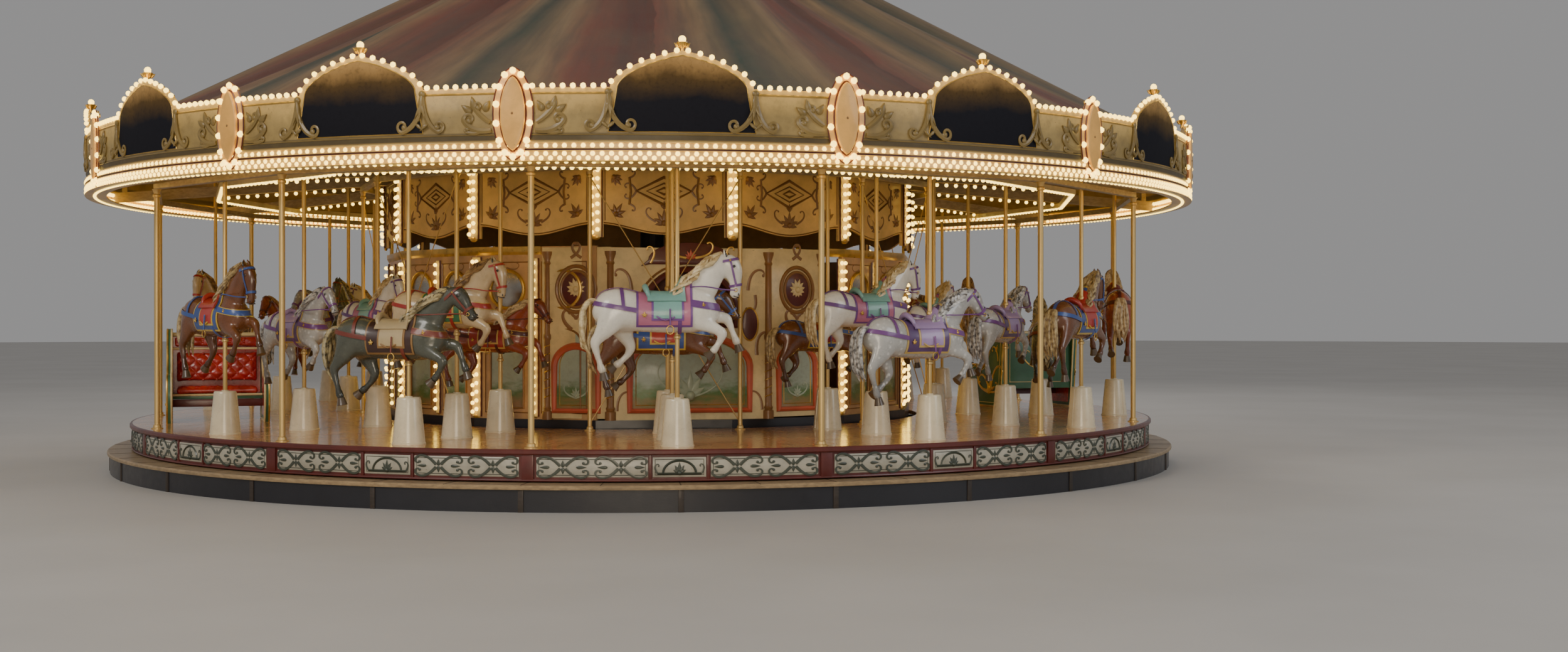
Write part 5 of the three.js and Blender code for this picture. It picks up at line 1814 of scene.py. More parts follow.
def limb(stations, sides=16, steps=3):
    """A rounded body through stations of [x, y, z, radius in the figure's plane, radius across it]."""
    points = eased(stations, steps)
    bm = bmesh.new()
    loops = []
    for i, (x, y, z, deep, wide) in enumerate(points):
        ahead = Vector(points[min(i + 1, len(points) - 1)][:3]) - Vector(points[max(i - 1, 0)][:3])
        across = Vector((0, 1, 0))
        up = ahead.normalized().cross(across).normalized()
        verts = []
        for k in range(sides):
            turn = 2 * math.pi * k / sides
            offset = up * max(deep, 0.008) * math.cos(turn) + across * max(wide, 0.008) * math.sin(turn)
            verts.append(bm.verts.new(Vector((x, y, z)) + offset))
        loops.append([bm.edges.new((verts[k], verts[(k + 1) % sides])) for k in range(sides)])
    for a, b in zip(loops, loops[1:]):
        bmesh.ops.bridge_loops(bm, edges=a + b)
    bmesh.ops.holes_fill(bm, edges=loops[0] + loops[-1], sides=0)
    return outward(bm)


def carved(parts, grain, keep=0.30):
    """Closed parts grown together into one smooth skin, thinned to a share of its faces."""
    mesh = welded(parts)
    rough = bpy.data.objects.new("rough", mesh)
    bpy.context.scene.collection.objects.link(rough)
    remesh = rough.modifiers.new("Carve", "REMESH")
    remesh.mode = "VOXEL"
    remesh.voxel_size = grain
    soften = rough.modifiers.new("Soften", "SMOOTH")
    soften.factor = 0.5
    soften.iterations = 2
    thin = rough.modifiers.new("Thin", "DECIMATE")
    thin.ratio = keep
    shape = bpy.data.meshes.new_from_object(rough.evaluated_get(bpy.context.evaluated_depsgraph_get()))
    bpy.data.objects.remove(rough)
    bpy.data.meshes.remove(mesh)
    return shape


def patch(skin, lift, thick, *cuts):
    """A cover cut from a skin and lifted off it. A cut is [point, normal] and keeps its normal's side."""
    bm = bmesh.new()
    bm.from_mesh(skin)
    for point, normal in cuts:
        geom = bm.verts[:] + bm.edges[:] + bm.faces[:]
        bmesh.ops.bisect_plane(bm, geom=geom, plane_co=point, plane_no=normal, clear_inner=True)
    bm.normal_update()
    for vert, normal in [(v, v.normal.copy()) for v in bm.verts]:
        vert.co += normal * lift
    bm.normal_update()
    made = bmesh.ops.extrude_face_region(bm, geom=bm.faces[:])["geom"]
    raised = [part for part in made if isinstance(part, bmesh.types.BMVert)]
    for vert, normal in [(v, v.normal.copy()) for v in raised]:
        vert.co += normal * thick
    return outward(bm)


def between(axis, low, high):
    """Two cuts that keep what lies between two values along an axis."""
    normal = Vector(axis)
    return (normal * low, normal), (normal * high, -normal)


def along_x(low, high):
    return between((1, 0, 0), low, high)


def over(height):
    """A cut that keeps what lies above a height."""
    return Vector((0, 0, height)), Vector((0, 0, 1))


def hoop(centre, wide, tall, radius, steps):
    """A ring of wire standing in the figure's plane."""
    x, y, z = centre
    turns = [2 * math.pi * k / steps for k in range(steps)]
    points = [(x + wide * math.cos(turn), y, z + tall * math.sin(turn)) for turn in turns]
    return tube(points, radius, 6, cyclic=True)


def swelling(count, least, more, start=0.0, share=1.0):
    """Radii that grow and shrink again along a tube."""
    return [least + more * math.sin(math.pi * (start + share * i / (count - 1))) for i in range(count)]


def band(start, end, half):
    """Two cuts that keep a strap of a half width along a line in the figure's plane."""
    start, end = Vector((start[0], 0, start[1])), Vector((end[0], 0, end[1]))
    along = (end - start).normalized()
    across = Vector((-along.z, 0, along.x))
    return (start - across * half, across), (start + across * half, -across)


def lock(start, flow, length, thick, wave, y_from, y_to):
    """A carved lock of hair from a point [x, z], flowing along a heading in degrees."""
    aim = math.radians(flow)
    x, z = start
    points, radii = [], []
    steps = 7
    for i in range(steps + 1):
        t = i / steps
        points.append((x, y_from + (y_to - y_from) * min(1, t * 1.7), z))
        radii.append(thick * (math.sin(math.pi * (0.16 + 0.84 * t)) * 0.75 + 0.25 * (1 - t)) + 0.002)
        turn = aim + wave * math.sin(2.2 * math.pi * t)
        x += length / steps * math.cos(turn)
        z += length / steps * math.sin(turn)
    return tube(points, radii, 4)


class HorseShape:
    """One carved horse, facing x with its pole's axis on the origin, in the parts that liveries paint."""

    def __init__(self, tucked, grain):
        neck, head = (TUCKED_NECK, TUCKED_HEAD) if tucked else (REACHING_NECK, REACHING_HEAD)
        self.tucked = tucked
        self.neck, self.head = neck, head
        torso = [limb(BODY, 22), limb(neck, 18), limb(head, 16)]
        jaw = limb((
            (head[1][0] - 0.02, 0, head[1][2] - 0.02, 0.07, 0.05),
            (head[2][0] - 0.01, 0, head[2][2], 0.06, 0.046),
            (head[3][0], 0, head[3][2], 0.04, 0.036),
        ), 12)
        legs = [limb(leg, 14) for leg in (HIND_STRETCHED, HIND_BENT, FORE_FOLDED, FORE_REACHING)]
        self.skin = carved([*torso, jaw, *legs], grain)
        self.parts = {role: [] for role in ROLES}
        self.parts["coat"].append(self.skin.copy())
        self.dress_face()
        self.hoofs()
        self.hair()
        self.saddlery()
        self.straps()

    def put(self, role, *shapes):
        self.parts[role] += shapes

    def dress_face(self):
        x, _, z, _, _ = self.head[1]
        lean = 0 if self.tucked else 34
        turn = moved(x, 0, z) @ turned(-lean, "Y")
        for hand in (-1, 1):
            socket = turn @ moved(0.028, hand * 0.052, -0.012)
            tilt = turned(-14, "Y") @ turned(hand * 12, "X")
            ear = leaf(0.088, 0.040, 0.014)
            inner = leaf(0.066, 0.022, 0.012)
            self.put("eye", placed(ball(0.0165, 10, 8), socket @ sized(1.25, 0.7, 1)))
            self.put("coat", placed(hoop((0.028, hand * 0.056, -0.012), 0.021, 0.016, 0.0045, 12), turn))
            self.put("coat", placed(ear, turn @ moved(-0.045, hand * 0.036, 0.065) @ tilt))
            self.put("eye", placed(inner, turn @ moved(-0.040, hand * 0.042, 0.072) @ tilt))
        nose_x, _, nose_z, _, _ = self.head[5]
        muzzle = moved(nose_x, 0, nose_z) @ turned(-lean, "Y")
        for hand in (-1, 1):
            nostril = muzzle @ moved(0.036, hand * 0.026, 0.012) @ sized(0.7, 0.6, 1.2)
            self.put("eye", placed(ball(0.011, 8, 6), nostril))
        lips = tube([
            (-0.012, -0.043, -0.004), (0.028, -0.036, -0.016), (0.042, 0, -0.018), (0.028, 0.036, -0.016),
            (-0.012, 0.043, -0.004),
        ], 0.0045, 6)
        self.put("eye", placed(lips, muzzle))

    def hoofs(self):
        ends = (
            (HIND_STRETCHED[-1], (0.012, -0.065)), (HIND_BENT[-1], (-0.045, -0.040)),
            (FORE_FOLDED[-1], (-0.045, -0.042)), (FORE_REACHING[-1], (0.022, -0.062)),
        )
        for (x, y, z, _, _), (run_x, run_z) in ends:
            self.put("hoof", limb((
                (x - run_x * 0.1, y, z - run_z * 0.1, 0.034, 0.032),
                (x + run_x * 0.35, y, z + run_z * 0.35, 0.041, 0.037),
                (x + run_x, y, z + run_z, 0.052, 0.046),
            ), 14, 2))

    def crest(self):
        """Points along the top of the neck, from the withers to the poll."""
        points = [(-0.03, 0.165)]
        stations = self.neck
        for i, (x, _, z, deep, _) in enumerate(stations[1:], 1):
            ahead = Vector(stations[min(i + 1, len(stations) - 1)][:3]) - Vector(stations[i - 1][:3])
            ahead.normalize()
            points.append((x - ahead.z * deep * 0.9, z + ahead.x * deep * 0.9))
        return eased(points, 3)

    def hair(self):
        crest = self.crest()
        rand = random.Random(11 if self.tucked else 12)
        for i, (x, z) in enumerate(crest[1:]):
            share = i / (len(crest) - 2)
            long = 0.30 - 0.09 * share + rand.uniform(-0.02, 0.03)
            flow = 232 - 16 * share + rand.uniform(-8, 8)
            wave = rand.uniform(0.25, 0.6)
            back = (x - 0.012, z + 0.004)
            self.put("mane", lock((x, z), flow, long, 0.024, wave, -0.012, -0.118 + 0.045 * share))
            self.put("mane", lock(back, flow + 12, long * 0.7, 0.020, -0.5, -0.03, -0.10 + 0.04 * share))
            self.put("mane", lock((x, z), flow - 4, long * 0.62, 0.020, 0.4, 0.012, 0.112 - 0.045 * share))
        ridge = tube([(x, 0, z) for x, z in crest], 0.020, 8)
        self.put("mane", ridge)
        x, _, z, _, _ = self.head[1]
        for k, y in enumerate((-0.022, 0, 0.022)):
            self.put("mane", lock((x - 0.055, z + 0.075), -28 - 14 * k, 0.12, 0.014, 0.5, 0, y * 1.6))
        for k in range(7):
            y, odd, third = 0.016 * (k - 3), k % 2, k % 3
            bend = eased([
                (-0.752, y * 0.4, 0.105), (-0.812, y * 0.8, 0.098 + 0.006 * odd), (-0.868, y * 1.1, 0.03),
                (-0.888 + 0.012 * third, y * 1.4, -0.09), (-0.875 - 0.012 * odd, y * 1.5, -0.22),
                (-0.845 - 0.02 * third, y * 1.2, -0.32 + 0.02 * odd),
                (-0.80 - 0.025 * third, y, -0.405 + 0.03 * third),
            ])
            self.put("mane", tube(bend, swelling(len(bend), 0.003, 0.026, 0.22, 0.76), 6))

    def saddlery(self):
        for start, end in ((-0.385, -0.340), (0.090, 0.135)):
            self.cover("trim", 0.003, 0.006, *along_x(start, end), over(-0.135))
        self.cover("trim", 0.003, 0.006, *along_x(-0.341, 0.091), *between((0, 0, 1), -0.135, -0.090))
        self.cover("cloth", 0.008, 0.006, *along_x(-0.365, 0.115), over(-0.115))
        self.cover("saddle", 0.014, 0.010, *along_x(-0.225, 0.035), over(-0.055))
        self.cover("trim", 0.012, 0.008, *along_x(-0.245, 0.055), over(-0.075))
        self.cover("saddle", 0.024, 0.016, *along_x(-0.285, 0.075), over(0.085))
        cantle = eased([
            (-0.262, -0.115, 0.125), (-0.285, -0.085, 0.195), (-0.30, 0, 0.235), (-0.285, 0.085, 0.195),
            (-0.262, 0.115, 0.125),
        ], 4)
        self.put("saddle", tube(cantle, swelling(len(cantle), 0.014, 0.016), 10))
        pommel = eased([
            (0.058, -0.09, 0.145), (0.075, -0.05, 0.195), (0.085, 0, 0.225), (0.075, 0.05, 0.195),
            (0.058, 0.09, 0.145),
        ], 4)
        self.put("saddle", tube(pommel, swelling(len(pommel), 0.012, 0.012), 10))
        for hand in (-1, 1):
            roll = eased([
                (-0.20, 0.172 * hand, -0.04), (-0.12, 0.176 * hand, -0.075), (-0.03, 0.180 * hand, -0.045),
            ])
            self.put("trim", tube(roll, 0.008, 6))
            self.put("gilt", hoop((-0.075, hand * 0.196, -0.165), 0.034, 0.040, 0.006, 12))
            leather = [(-0.075, hand * 0.186, 0.03), (-0.075, hand * 0.198, -0.125)]
            self.put("strap", tube(leather, 0.008, 6))
            self.rosette(-0.31, hand * 0.172, -0.03, 0.036, 0.024)

    def straps(self):
        self.cover("strap", 0.010, 0.006, *along_x(0.0, 0.036))
        front = (Vector((0.08, 0, 0)), Vector((1, 0, 0))), over(-0.06)
        self.cover("strap", 0.006, 0.007, *band((0.10, 0.085), (0.36, 0.045), 0.024), *front)
        self.cover("trim", 0.004, 0.005, *band((0.10, 0.085), (0.36, 0.045), 0.032), *front)
        behind = (Vector((-0.36, 0, 0)), Vector((-1, 0, 0)))
        self.cover("strap", 0.006, 0.007, *band((-0.36, 0.01), (-0.74, 0.075), 0.020), behind, over(-0.08))
        self.cover("strap", 0.006, 0.006, *between((0, 1, 0), -0.016, 0.016), behind, over(0.05))
        self.cover("strap", 0.006, 0.006, *band((-0.52, 0.20), (-0.50, 0.02), 0.016), over(0.035))
        x1, _, z1, _, _ = self.head[1]
        x3, _, z3, _, _ = self.head[3]
        x4, _, z4, _, _ = self.head[4]
        along = Vector((x4 - x1, 0, z4 - z1)).normalized()
        ahead = (Vector((0.42, 0, 0)), Vector((1, 0, 0)))
        nose = Vector((x3, 0, z3)) + along * 0.02
        crown = Vector((x1, 0, z1)) + along * -0.045
        for place, half in ((nose, 0.012), (crown, 0.011)):
            cuts = ((place - along * half, along), (place + along * half, -along))
            self.cover("strap", 0.004, 0.005, *cuts, ahead, over(0.12))
        cheek = band((crown.x, crown.z), (nose.x, nose.z), 0.009)
        self.cover("strap", 0.004, 0.005, *cheek, (crown, along), (nose, -along), ahead)
        for hand in (-1, 1):
            bit = nose + along * 0.045
            self.put("gilt", hoop((bit.x - 0.012, hand * 0.047, bit.z), 0.016, 0.016, 0.004, 10))
            rein = eased([
                (bit.x - 0.02, hand * 0.05, bit.z), (bit.x - 0.14, hand * 0.10, bit.z + 0.005),
                (0.26, hand * 0.135, 0.235), (0.15, hand * 0.115, 0.235), (0.075, hand * 0.035, 0.225),
            ], 4)
            self.put("strap", tube(rein, 0.0065, 6))
            self.rosette(0.235, hand * 0.142, 0.062, 0.032, 0.022)
            self.put("gilt", placed(ball(0.012, 8, 6), moved(crown.x, hand * 0.060, crown.z)))

    def cover(self, role, lift, thick, *cuts):
        self.put(role, patch(self.skin, lift, thick, *cuts))

    def rosette(self, x, y, z, long, wide):
        side = turned(180 if y > 0 else 0, "Z")
        self.put("gilt", placed(fan(5, 288, long, wide, 0.005), moved(x, y, z) @ side))

    def made(self):
        """The figure as one mesh with a material index for each role, remembering its own places."""
        bm = bmesh.new()
        for index, role in enumerate(ROLES):
            for shape in self.parts[role]:
                shape.polygons.foreach_set("material_index", [index] * len(shape.polygons))
                bm.from_mesh(shape)
                bpy.data.meshes.remove(shape)
        bpy.data.meshes.remove(self.skin)
        mesh = as_mesh(bm)
        own = mesh.attributes.new("figure", "FLOAT_VECTOR", "POINT")
        places = [0.0] * (3 * len(mesh.vertices))
        mesh.vertices.foreach_get("co", places)
        own.data.foreach_set("vector", places)
        return mesh


def coat_finish(name, tint, dark, dapple=0.0):
    """Painted and varnished timber, shaded by hand towards the feet and the muzzle."""
    f = Finish(name, "figure")
    x, _, z = f.axes()
    tone = f.ramp(f.noise(3.2, 4), [(0.3, shade(tint, 0.80)), (0.7, shade(tint, 1.06))])
    feet = f.ramp(f.scaled(z, -2.4, -0.35, clamp=True), [(0.0, 0.0), (0.8, 0.75)])
    nose = f.ramp(f.scaled(x, 6.0, -2.95, clamp=True), [(0.0, 0.0), (1.0, 0.55)])
    under = f.patches(5.5, 3, 0.5, 0.8, 0.35)
    tone = f.mix(f.math("ADD", feet, under, clamp=True), tone, dark)
    tone = f.mix(nose, tone, dark)
    if dapple:
        cells = f.make("ShaderNodeTexVoronoi", {"Vector": f.place, "Scale": 17.0, "Randomness": 1.0})
        spots = f.ramp(cells.outputs["Distance"], [(0.16, dapple), (0.34, 0.0)])
        tone = f.mix(spots, tone, shade(tint, 1.35))
    cracks = f.patches(30, 5, 0.60, 0.70, 0.35, 0.7)
    tone = f.mix(cracks, tone, shade(dark, 0.6))
    f.bump(f.math("ADD", f.noise(26, 3), f.math("MULTIPLY", f.noise(90, 2), 0.4)), 0.0014, 0.45)
    return f.surface(tone, f.scaled(f.noise(9, 3), 0.22, 0.16), 0.0, 0.55)


def hair_finish(name, tint, streak):
    """Carved locks with painted strands."""
    f = Finish(name, "figure")
    strands = f.noise(26, 4, f.stretched(0.35, 1.6, 0.9), 0.6)
    tone = f.ramp(strands, [(0.36, streak), (0.60, tint)])
    tone = f.mix(f.patches(8, 3, 0.45, 0.8, 0.5), tone, shade(streak, 0.5))
    f.bump(strands, 0.004, 0.7)
    return f.surface(tone, 0.42, 0.0, 0.35)


LIVERIES = {
    "white": dict(
        coat=((0.80, 0.76, 0.66), (0.50, 0.43, 0.32), 0.0),
        mane=((0.74, 0.60, 0.34), (0.36, 0.23, 0.08)),
        saddle=(0.22, 0.45, 0.40), cloth=(0.52, 0.17, 0.27),
        trim=(0.20, 0.07, 0.30), strap=(0.17, 0.055, 0.24)),
    "grey": dict(
        coat=((0.082, 0.086, 0.062), (0.020, 0.020, 0.016), 0.35),
        mane=((0.50, 0.40, 0.20), (0.05, 0.038, 0.022)),
        saddle=(0.52, 0.40, 0.22), cloth=(0.050, 0.020, 0.014),
        trim=(0.30, 0.16, 0.05), strap=(0.20, 0.035, 0.018)),
    "brown": dict(
        coat=((0.17, 0.060, 0.020), (0.030, 0.013, 0.008), 0.0),
        mane=((0.56, 0.42, 0.20), (0.16, 0.09, 0.035)),
        saddle=(0.45, 0.035, 0.02), cloth=(0.040, 0.085, 0.28),
        trim=(0.66, 0.45, 0.07), strap=(0.045, 0.10, 0.34)),
    "cream": dict(
        coat=((0.62, 0.47, 0.27), (0.30, 0.19, 0.09), 0.0),
        mane=((0.40, 0.25, 0.10), (0.12, 0.06, 0.025)),
        saddle=(0.48, 0.03, 0.02), cloth=(0.05, 0.19, 0.075),
        trim=(0.68, 0.44, 0.10), strap=(0.42, 0.03, 0.02)),
    "dapple": dict(
        coat=((0.50, 0.49, 0.46), (0.16, 0.155, 0.15), 0.85),
        mane=((0.66, 0.64, 0.60), (0.035, 0.032, 0.035)),
        saddle=(0.40, 0.28, 0.50), cloth=(0.11, 0.05, 0.16),
        trim=(0.62, 0.44, 0.14), strap=(0.20, 0.06, 0.26)),
    "red": dict(
        coat=((0.33, 0.070, 0.028), (0.085, 0.020, 0.010), 0.0),
        mane=((0.66, 0.50, 0.27), (0.26, 0.15, 0.06)),
        saddle=(0.16, 0.018, 0.014), cloth=(0.42, 0.040, 0.025),
        trim=(0.66, 0.44, 0.12), strap=(0.10, 0.02, 0.015)),
}


class CAROUSEL_OT_horses(bpy.types.Operator):
    """Carves and paints the jumping horses and sets each on its brass pole"""

    bl_idname = "carousel.horses"
    bl_label = "Horses"

    def execute(self, context):
        grain = context.scene.carousel_sizes.figure_grain
        figures = {tucked: HorseShape(tucked, grain).made() for tucked in (True, False)}
        liveries = {name: self.mixed(name, paints) for name, paints in LIVERIES.items()}
        names = list(LIVERIES)
        pole = self.pole()
        for order, i in enumerate(HORSE_RANKS, 1):
            for row, row_name in enumerate(ROW_NAMES):
                node = f"horse_{row_name}_{order}"
                livery = names[(COATS[i] + 2 * row) % len(names)]
                low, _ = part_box(node)
                place = at_bearing(RANKS[i], ROW_R[row], low[2] + 0.91)
                mesh = figures[(i + row) % 2 == 0].copy()
                size = ROW_SCALE[row]
                mesh.transform(place @ sized(size, size, size))
                place_piece(f"{node}_carved", mesh, liveries[livery], node, [node], 65)
                brass = pole.copy()
                brass.transform(place)
                place_piece(f"{node}_pole", brass, [finishes["brass"]], node)
        return {"FINISHED"}

    def mixed(self, name, paints):
        """The materials of a livery in the order of the roles."""
        coat = coat_finish(f"{name}_coat", *paints["coat"])
        mane = hair_finish(f"{name}_mane", *paints["mane"])
        plain = [
            painted(f"{name}_{role}", paints[role], 0.38, 0.3, 0.4, "figure")
            for role in ("saddle", "cloth", "trim", "strap")
        ]
        hoof = painted(f"{name}_hoof", (0.10, 0.065, 0.035), 0.35, 0.3, 0.5, "figure")
        eye = painted(f"{name}_eye", (0.014, 0.010, 0.008), 0.12, 0.0, 0.9, "figure")
        return [coat, mane, *plain, hoof, eye, finishes["gold"]]

    def pole(self):
        """A smooth pole with a foot ring under the belly and a collar above the saddle."""
        low, high = -0.91, 1.735
        profile = [
            (0, low), (0.020, low), (0.022, low + 0.003), (0.022, -0.25), (0.034, -0.245), (0.034, -0.225),
            (0.026, -0.215), (0.026, -0.205), (0.022, -0.20), (0.022, 0.235), (0.032, 0.24), (0.032, 0.262),
            (0.025, 0.272), (0.022, 0.28), (0.022, high), (0, high),
        ]
        return spun(profile, 16)


# Chariots


CHARIOT_SIDE = (
    (0.43, 0), (0.56, 0.26), (0.5, 0.52), (0.33, 0.56), (0.15, 0.5), (-0.06, 0.62), (-0.25, 0.94),
    (-0.42, 1.07), (-0.56, 0.96),
)


class CAROUSEL_OT_chariots(bpy.types.Operator):
    """Builds the chariots: carved green sides with gilt rims and scrolls, the bench with its back and
    apron, and cream rails
    """

    bl_idname = "carousel.chariots"
    bl_label = "Chariots"

    def execute(self, context):
        outline = [(-0.47, 0.0), *eased(CHARIOT_SIDE, 4)]
        plate = slab(outline, 0.044, 0.006)
        rim = line_of([(x * 0.985, 0.008 + z * 0.985) for x, z in outline], 0.013, 8)
        field = [(-0.40 + 0.87 * (x + 0.47) * 0.93, 0.055 + z * 0.86) for x, z in outline]
        inset = line_of(field, 0.006, 6)
        lining = slab(field, 0.002)
        carving = self.carving()
        for number, rank in enumerate(CHARIOT_RANKS, 1):
            place = at_bearing(RANKS[rank], CHARIOT_R, DECK_Z + GAP)
            piece = Piece()
            for hand in (-1, 1):
                side = place @ moved(0, 0.508 * hand, 0) @ sized(1, -hand, 1)
                piece.add(plate, "green", side)
                face = side @ moved(0, -0.045, 0)
                piece.add(rim, "gold", face)
                piece.add(inset, "cream", face)
                piece.add(carving, "gold", face)
                piece.add(rim, "cream", side @ moved(0, 0.001, 0))
                piece.add(lining, "hide", side @ moved(0, 0.002, 0))
            self.bench(piece, place)
            piece.finish(f"chariot_{number}_dressed", TURNTABLE, "chariot_paint", [f"chariot_{number}"])
        return {"FINISHED"}

    def carving(self):
        """Gilt scrollwork and a shell for one side."""
        parts = [
            scroll((-0.18, 0.22), 105, 0.62, 0.60, 0.026, 0.5, 26),
            scroll((-0.14, 0.22), 60, 0.50, -0.62, 0.022, 0.5, 24),
            scroll((-0.10, 0.20), 8, 0.56, 0.62, 0.024, 0.5, 24),
            scroll((-0.16, 0.20), 185, 0.34, -0.62, 0.018, 0.5, 20),
            scroll((0.30, 0.20), 70, 0.30, -0.60, 0.018, 0.5, 20),
            scroll((-0.40, 0.62), 80, 0.34, -0.60, 0.016, 0.5, 20),
        ]
        petals = (
            (-20, 0.16, -0.15, 0.26), (30, 0.13, -0.13, 0.24), (-70, 0.14, -0.19, 0.23),
            (80, 0.14, -0.05, 0.21), (-30, 0.12, -0.33, 0.74),
        )
        parts += [leaf_at(angle, long, 0.052, 0.012, (x, 0, z)) for angle, long, x, z in petals]
        shell = placed(fan(7, 170, 0.13, 0.042, 0.010), moved(-0.14, -0.004, 0.19))
        return welded([*parts, shell])

    def bench(self, piece, place):
        # The seat, the back with its lining, and the apron: size, bevel, finish, place
        boards = (
            ((0.40, 1.02, 0.056), 0.006, "green", (-0.23, 0, 0.280)),
            ((0.044, 1.02, 0.740), 0.006, "green", (-0.455, 0, 0.622)),
            ((0.004, 0.99, 0.70), 0.0, "hide", (-0.432, 0, 0.625)),
            ((0.034, 1.02, 0.088), 0.005, "oxblood", (-0.06, 0, 0.205)),
        )
        for size, bevel, finish, spot in boards:
            piece.add(block(*size, bevel), finish, place @ moved(*spot))
        # The rails along the seat's front, the back's top and below it
        rails = ((-0.026, 0.300, 0.014, 10), (-0.445, 1.0, 0.026, 12), (-0.352, 0.835, 0.014, 10))
        for x, z, radius, sides in rails:
            piece.add(tube([(x, -0.5, z), (x, 0.5, z)], radius, sides), "cream", place)
        wide, tall = 0.84, 0.56
        half, rise = wide / 2, tall / 2
        frame_line = line_of([(-half, -rise), (half, -rise), (half, rise), (-half, rise)], 0.007, 6)
        swirl = both_sides(scroll((0.0, -rise * 0.35), 18, half * 1.0, 0.62, 0.012, 0.5, 20))
        spot = place @ moved(-0.480, 0, 0.62) @ turned(-90, "Z")
        piece.add(frame_line, "cream", spot)
        piece.add(swirl, "gold", spot)


class CAROUSEL_OT_cushions(bpy.types.Operator):
    """Pads and buttons the red hide seats and backs of the chariots"""

    bl_idname = "carousel.cushions"
    bl_label = "Cushions"

    def execute(self, context):
        seat = self.pad((0.31, 0.95, 0.062), 0.024)
        back = self.pad((0.37, 0.95, 0.056), 0.024)
        crown = self.pad((0.115, 0.95, 0.050), 0.018)
        on_seat = moved(-0.165, 0, 0.348)
        on_back = moved(-0.368, 0, 0.620) @ turned(84, "Y")
        on_crown = moved(-0.398, 0, 0.915) @ turned(84, "Y")
        pads = (
            ("seat", seat, on_seat, self.tufted(seat, 0.31, 0.95, 0.15, 0.15)),
            ("back", back, on_back, self.tufted(back, 0.37, 0.95, 0.155, 0.155)),
            ("crown", crown, on_crown, self.tufted(crown, 0.115, 0.95, 0.20, 0.155)),
        )
        for number, rank in enumerate(CHARIOT_RANKS, 1):
            place = at_bearing(RANKS[rank], CHARIOT_R, DECK_Z + GAP)
            node = f"chariot_cushion_{number}"
            for part, mesh, spot, _ in pads:
                copy = mesh.copy()
                copy.transform(place @ spot)
                name, hide = f"{node}_{part}", [finishes["hide"]]
                pad = place_piece(name, copy, hide, TURNTABLE, [node], 80)
            buttons = Piece()
            for _, _, spot, mesh in pads:
                buttons.add(mesh, "hide", place @ spot)
            buttons.finish(f"{node}_buttons", TURNTABLE, "red_hide", smooth_deg=80)
        return {"FINISHED"}

    def pad(self, size, cap):
        """A pad blown up by a cloth simulation, no point moving further than the cap, flat underneath."""
        start = block(*size)
        bm = bmesh.new()
        bm.from_mesh(start)
        bmesh.ops.bevel(
            bm, geom=bm.edges[:], offset=0.022, segments=3, profile=0.5, affect="EDGES", material=-1
        )
        bpy.data.meshes.remove(start)
        mesh = carved([as_mesh(bm)], 0.014, 1.0)
        pad = bpy.data.objects.new("pad", mesh)
        bpy.context.scene.collection.objects.link(pad)
        before = [v.co.copy() for v in mesh.vertices]
        scene = bpy.context.scene
        cloth = pad.modifiers.new("Filling", "CLOTH")
        cloth.settings.quality = 4
        cloth.settings.use_pressure = True
        cloth.settings.uniform_pressure_force = 4
        cloth.settings.effector_weights.gravity = 0
        cloth.collision_settings.use_collision = False
        cloth.point_cache.frame_start = 1
        cloth.point_cache.frame_end = 20
        for number in range(1, 21):
            scene.frame_set(number)
        filled = pad.evaluated_get(bpy.context.evaluated_depsgraph_get())
        after = [v.co.copy() for v in filled.data.vertices]
        scene.frame_set(1)
        pad.modifiers.clear()
        bpy.data.objects.remove(pad)
        bm = bmesh.new()
        bm.from_mesh(mesh)
        bpy.data.meshes.remove(mesh)
        bm.verts.ensure_lookup_table()
        for vert, old, new in zip(bm.verts, before, after):
            move = new - old
            if move.length > cap:
                move = move.normalized() * cap
            vert.co = old + move
            vert.co.z = max(vert.co.z, -size[2] / 2 - 0.004)
        bmesh.ops.subdivide_edges(bm, edges=bm.edges[:], cuts=1, use_grid_fill=True)
        bmesh.ops.smooth_vert(
            bm, verts=bm.verts[:], factor=0.5, use_axis_x=True, use_axis_y=True, use_axis_z=True
        )
        return as_mesh(bm)

    def tufted(self, mesh, long, wide, pitch_x, pitch_y):
        """Draws the pad in along diamonds, and returns its buttons as one mesh."""
        top = max(v.co.z for v in mesh.vertices)
        for vert in mesh.vertices:
            x, y, z = vert.co
            p, q = y / pitch_y + x / pitch_x, y / pitch_y - x / pitch_x
            rise = math.sqrt(abs(math.sin(math.pi * p) * math.sin(math.pi * q)))
            edge = min(1, max(0, (long / 2 - abs(x)) / 0.05)) * min(1, max(0, (wide / 2 - abs(y)) / 0.05))
            up = min(1, max(0, z / top))
            vert.co.z = z - 0.020 * (1 - rise) * edge * up
        buttons = []
        rows = int(long / pitch_x) + 2
        columns = int(wide / pitch_y) + 2
        for i in range(-2 * rows, 2 * rows + 1):
            for j in range(-2 * columns, 2 * columns + 1):
                if (i + j) % 2:
                    continue
                x, y = i * pitch_x / 2, j * pitch_y / 2
                if abs(x) > long / 2 - 0.03 or abs(y) > wide / 2 - 0.03:
                    continue
                button = placed(ball(0.013, 10, 6), moved(x, y, top - 0.020) @ sized(1, 1, 0.55))
                buttons.append(button)
        return welded(buttons)


def buttoned_hide(name, tint):
    """Glossy red hide with a fine grain, uneven in tone and rubbed paler in patches."""
    f = Finish(name)
    tone = f.ramp(f.noise(4, 4), [(0.3, shade(tint, 0.55)), (0.7, shade(tint, 1.15))])
    grain = f.make("ShaderNodeTexVoronoi", {"Vector": f.place, "Scale": 260.0}).outputs["Distance"]
    rub = f.patches(9, 5, 0.55, 0.8, 0.35, 0.65)
    tone = f.mix(rub, tone, (0.62, 0.12, 0.08))
    f.bump(f.math("ADD", grain, f.math("MULTIPLY", f.noise(30, 3), 0.8)), 0.0009, 0.5)
    return f.surface(tone, f.scaled(f.noise(14, 3), 0.25, 0.16), 0.0, 0.5)


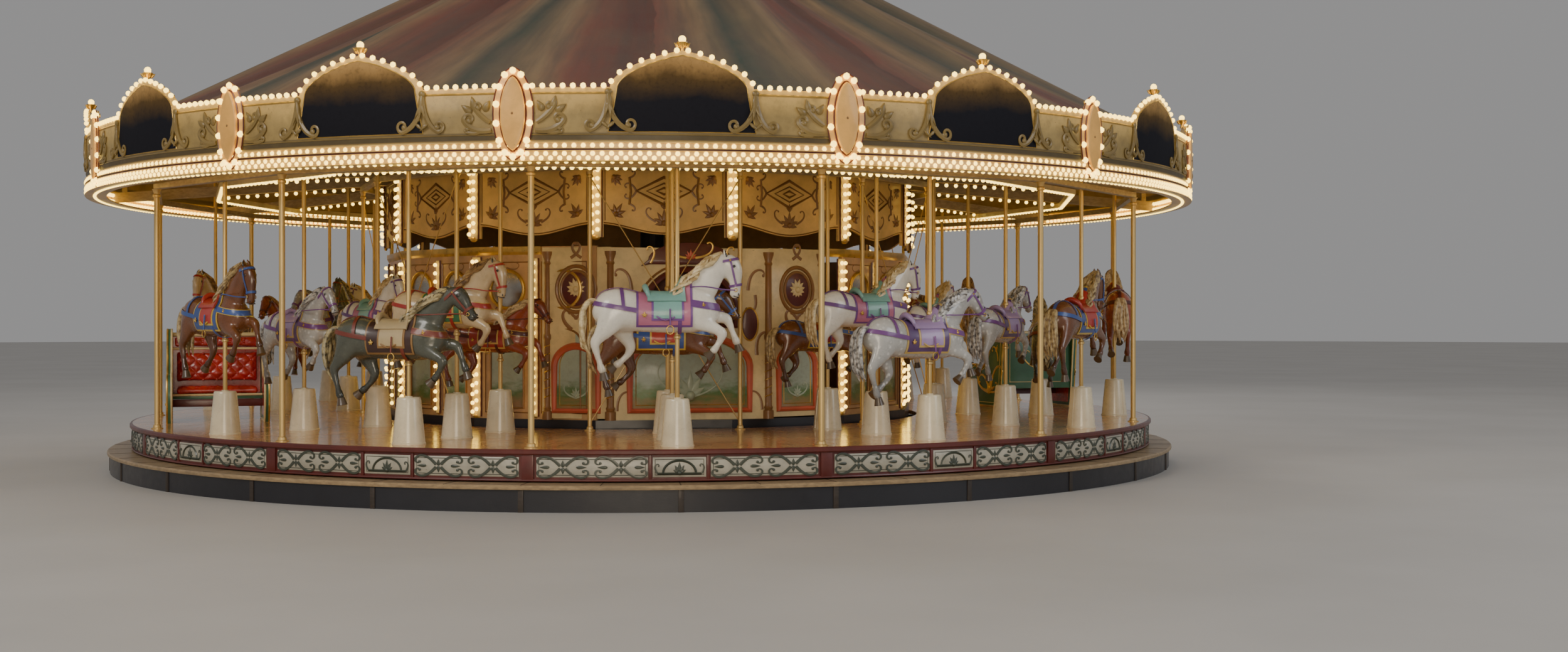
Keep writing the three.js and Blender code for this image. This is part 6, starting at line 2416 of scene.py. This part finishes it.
def register():
    """Adds the settings and the operators."""
    for cls in CLASSES:
        bpy.utils.register_class(cls)
    bpy.types.Scene.carousel_sizes = bpy.props.PointerProperty(type=CarouselSizes)
    bpy.types.Scene.carousel_colours = bpy.props.PointerProperty(type=CarouselColours)


def unregister():
    """Takes them away again."""
    del bpy.types.Scene.carousel_colours
    del bpy.types.Scene.carousel_sizes
    for cls in reversed(CLASSES):
        bpy.utils.unregister_class(cls)


OPERATORS = (
    CAROUSEL_OT_stage,
    CAROUSEL_OT_finishes,
    CAROUSEL_OT_step,
    CAROUSEL_OT_deck,
    CAROUSEL_OT_fascia,
    CAROUSEL_OT_poles,
    CAROUSEL_OT_cornice,
    CAROUSEL_OT_shields,
    CAROUSEL_OT_lamps,
    CAROUSEL_OT_canopy,
    CAROUSEL_OT_crown,
    CAROUSEL_OT_valance,
    CAROUSEL_OT_house,
    CAROUSEL_OT_organ,
    CAROUSEL_OT_horses,
    CAROUSEL_OT_chariots,
    CAROUSEL_OT_cushions,
)


class CAROUSEL_PT_panel(bpy.types.Panel):
    """Lists the carousel's settings and operators"""

    bl_idname = "CAROUSEL_PT_panel"
    bl_label = "Carousel"
    bl_space_type = "VIEW_3D"
    bl_region_type = "UI"
    bl_category = "Carousel"

    def draw(self, context):
        column = self.layout.column()
        for group in (context.scene.carousel_sizes, context.scene.carousel_colours):
            for name in group.__annotations__:
                column.prop(group, name)
        for operator in OPERATORS:
            column.operator(operator.bl_idname)


CLASSES = (CarouselSizes, CarouselColours, *OPERATORS, CAROUSEL_PT_panel)


def main():
    register()
    bpy.ops.carousel.stage()
    bpy.ops.carousel.finishes()
    bpy.ops.carousel.step()
    bpy.ops.carousel.deck()
    bpy.ops.carousel.fascia()
    bpy.ops.carousel.poles()
    bpy.ops.carousel.cornice()
    bpy.ops.carousel.shields()
    bpy.ops.carousel.lamps()
    bpy.ops.carousel.canopy()
    bpy.ops.carousel.crown()
    bpy.ops.carousel.valance()
    bpy.ops.carousel.house()
    bpy.ops.carousel.organ()
    bpy.ops.carousel.horses()
    bpy.ops.carousel.chariots()
    bpy.ops.carousel.cushions()


if __name__ == "__main__":
    main()
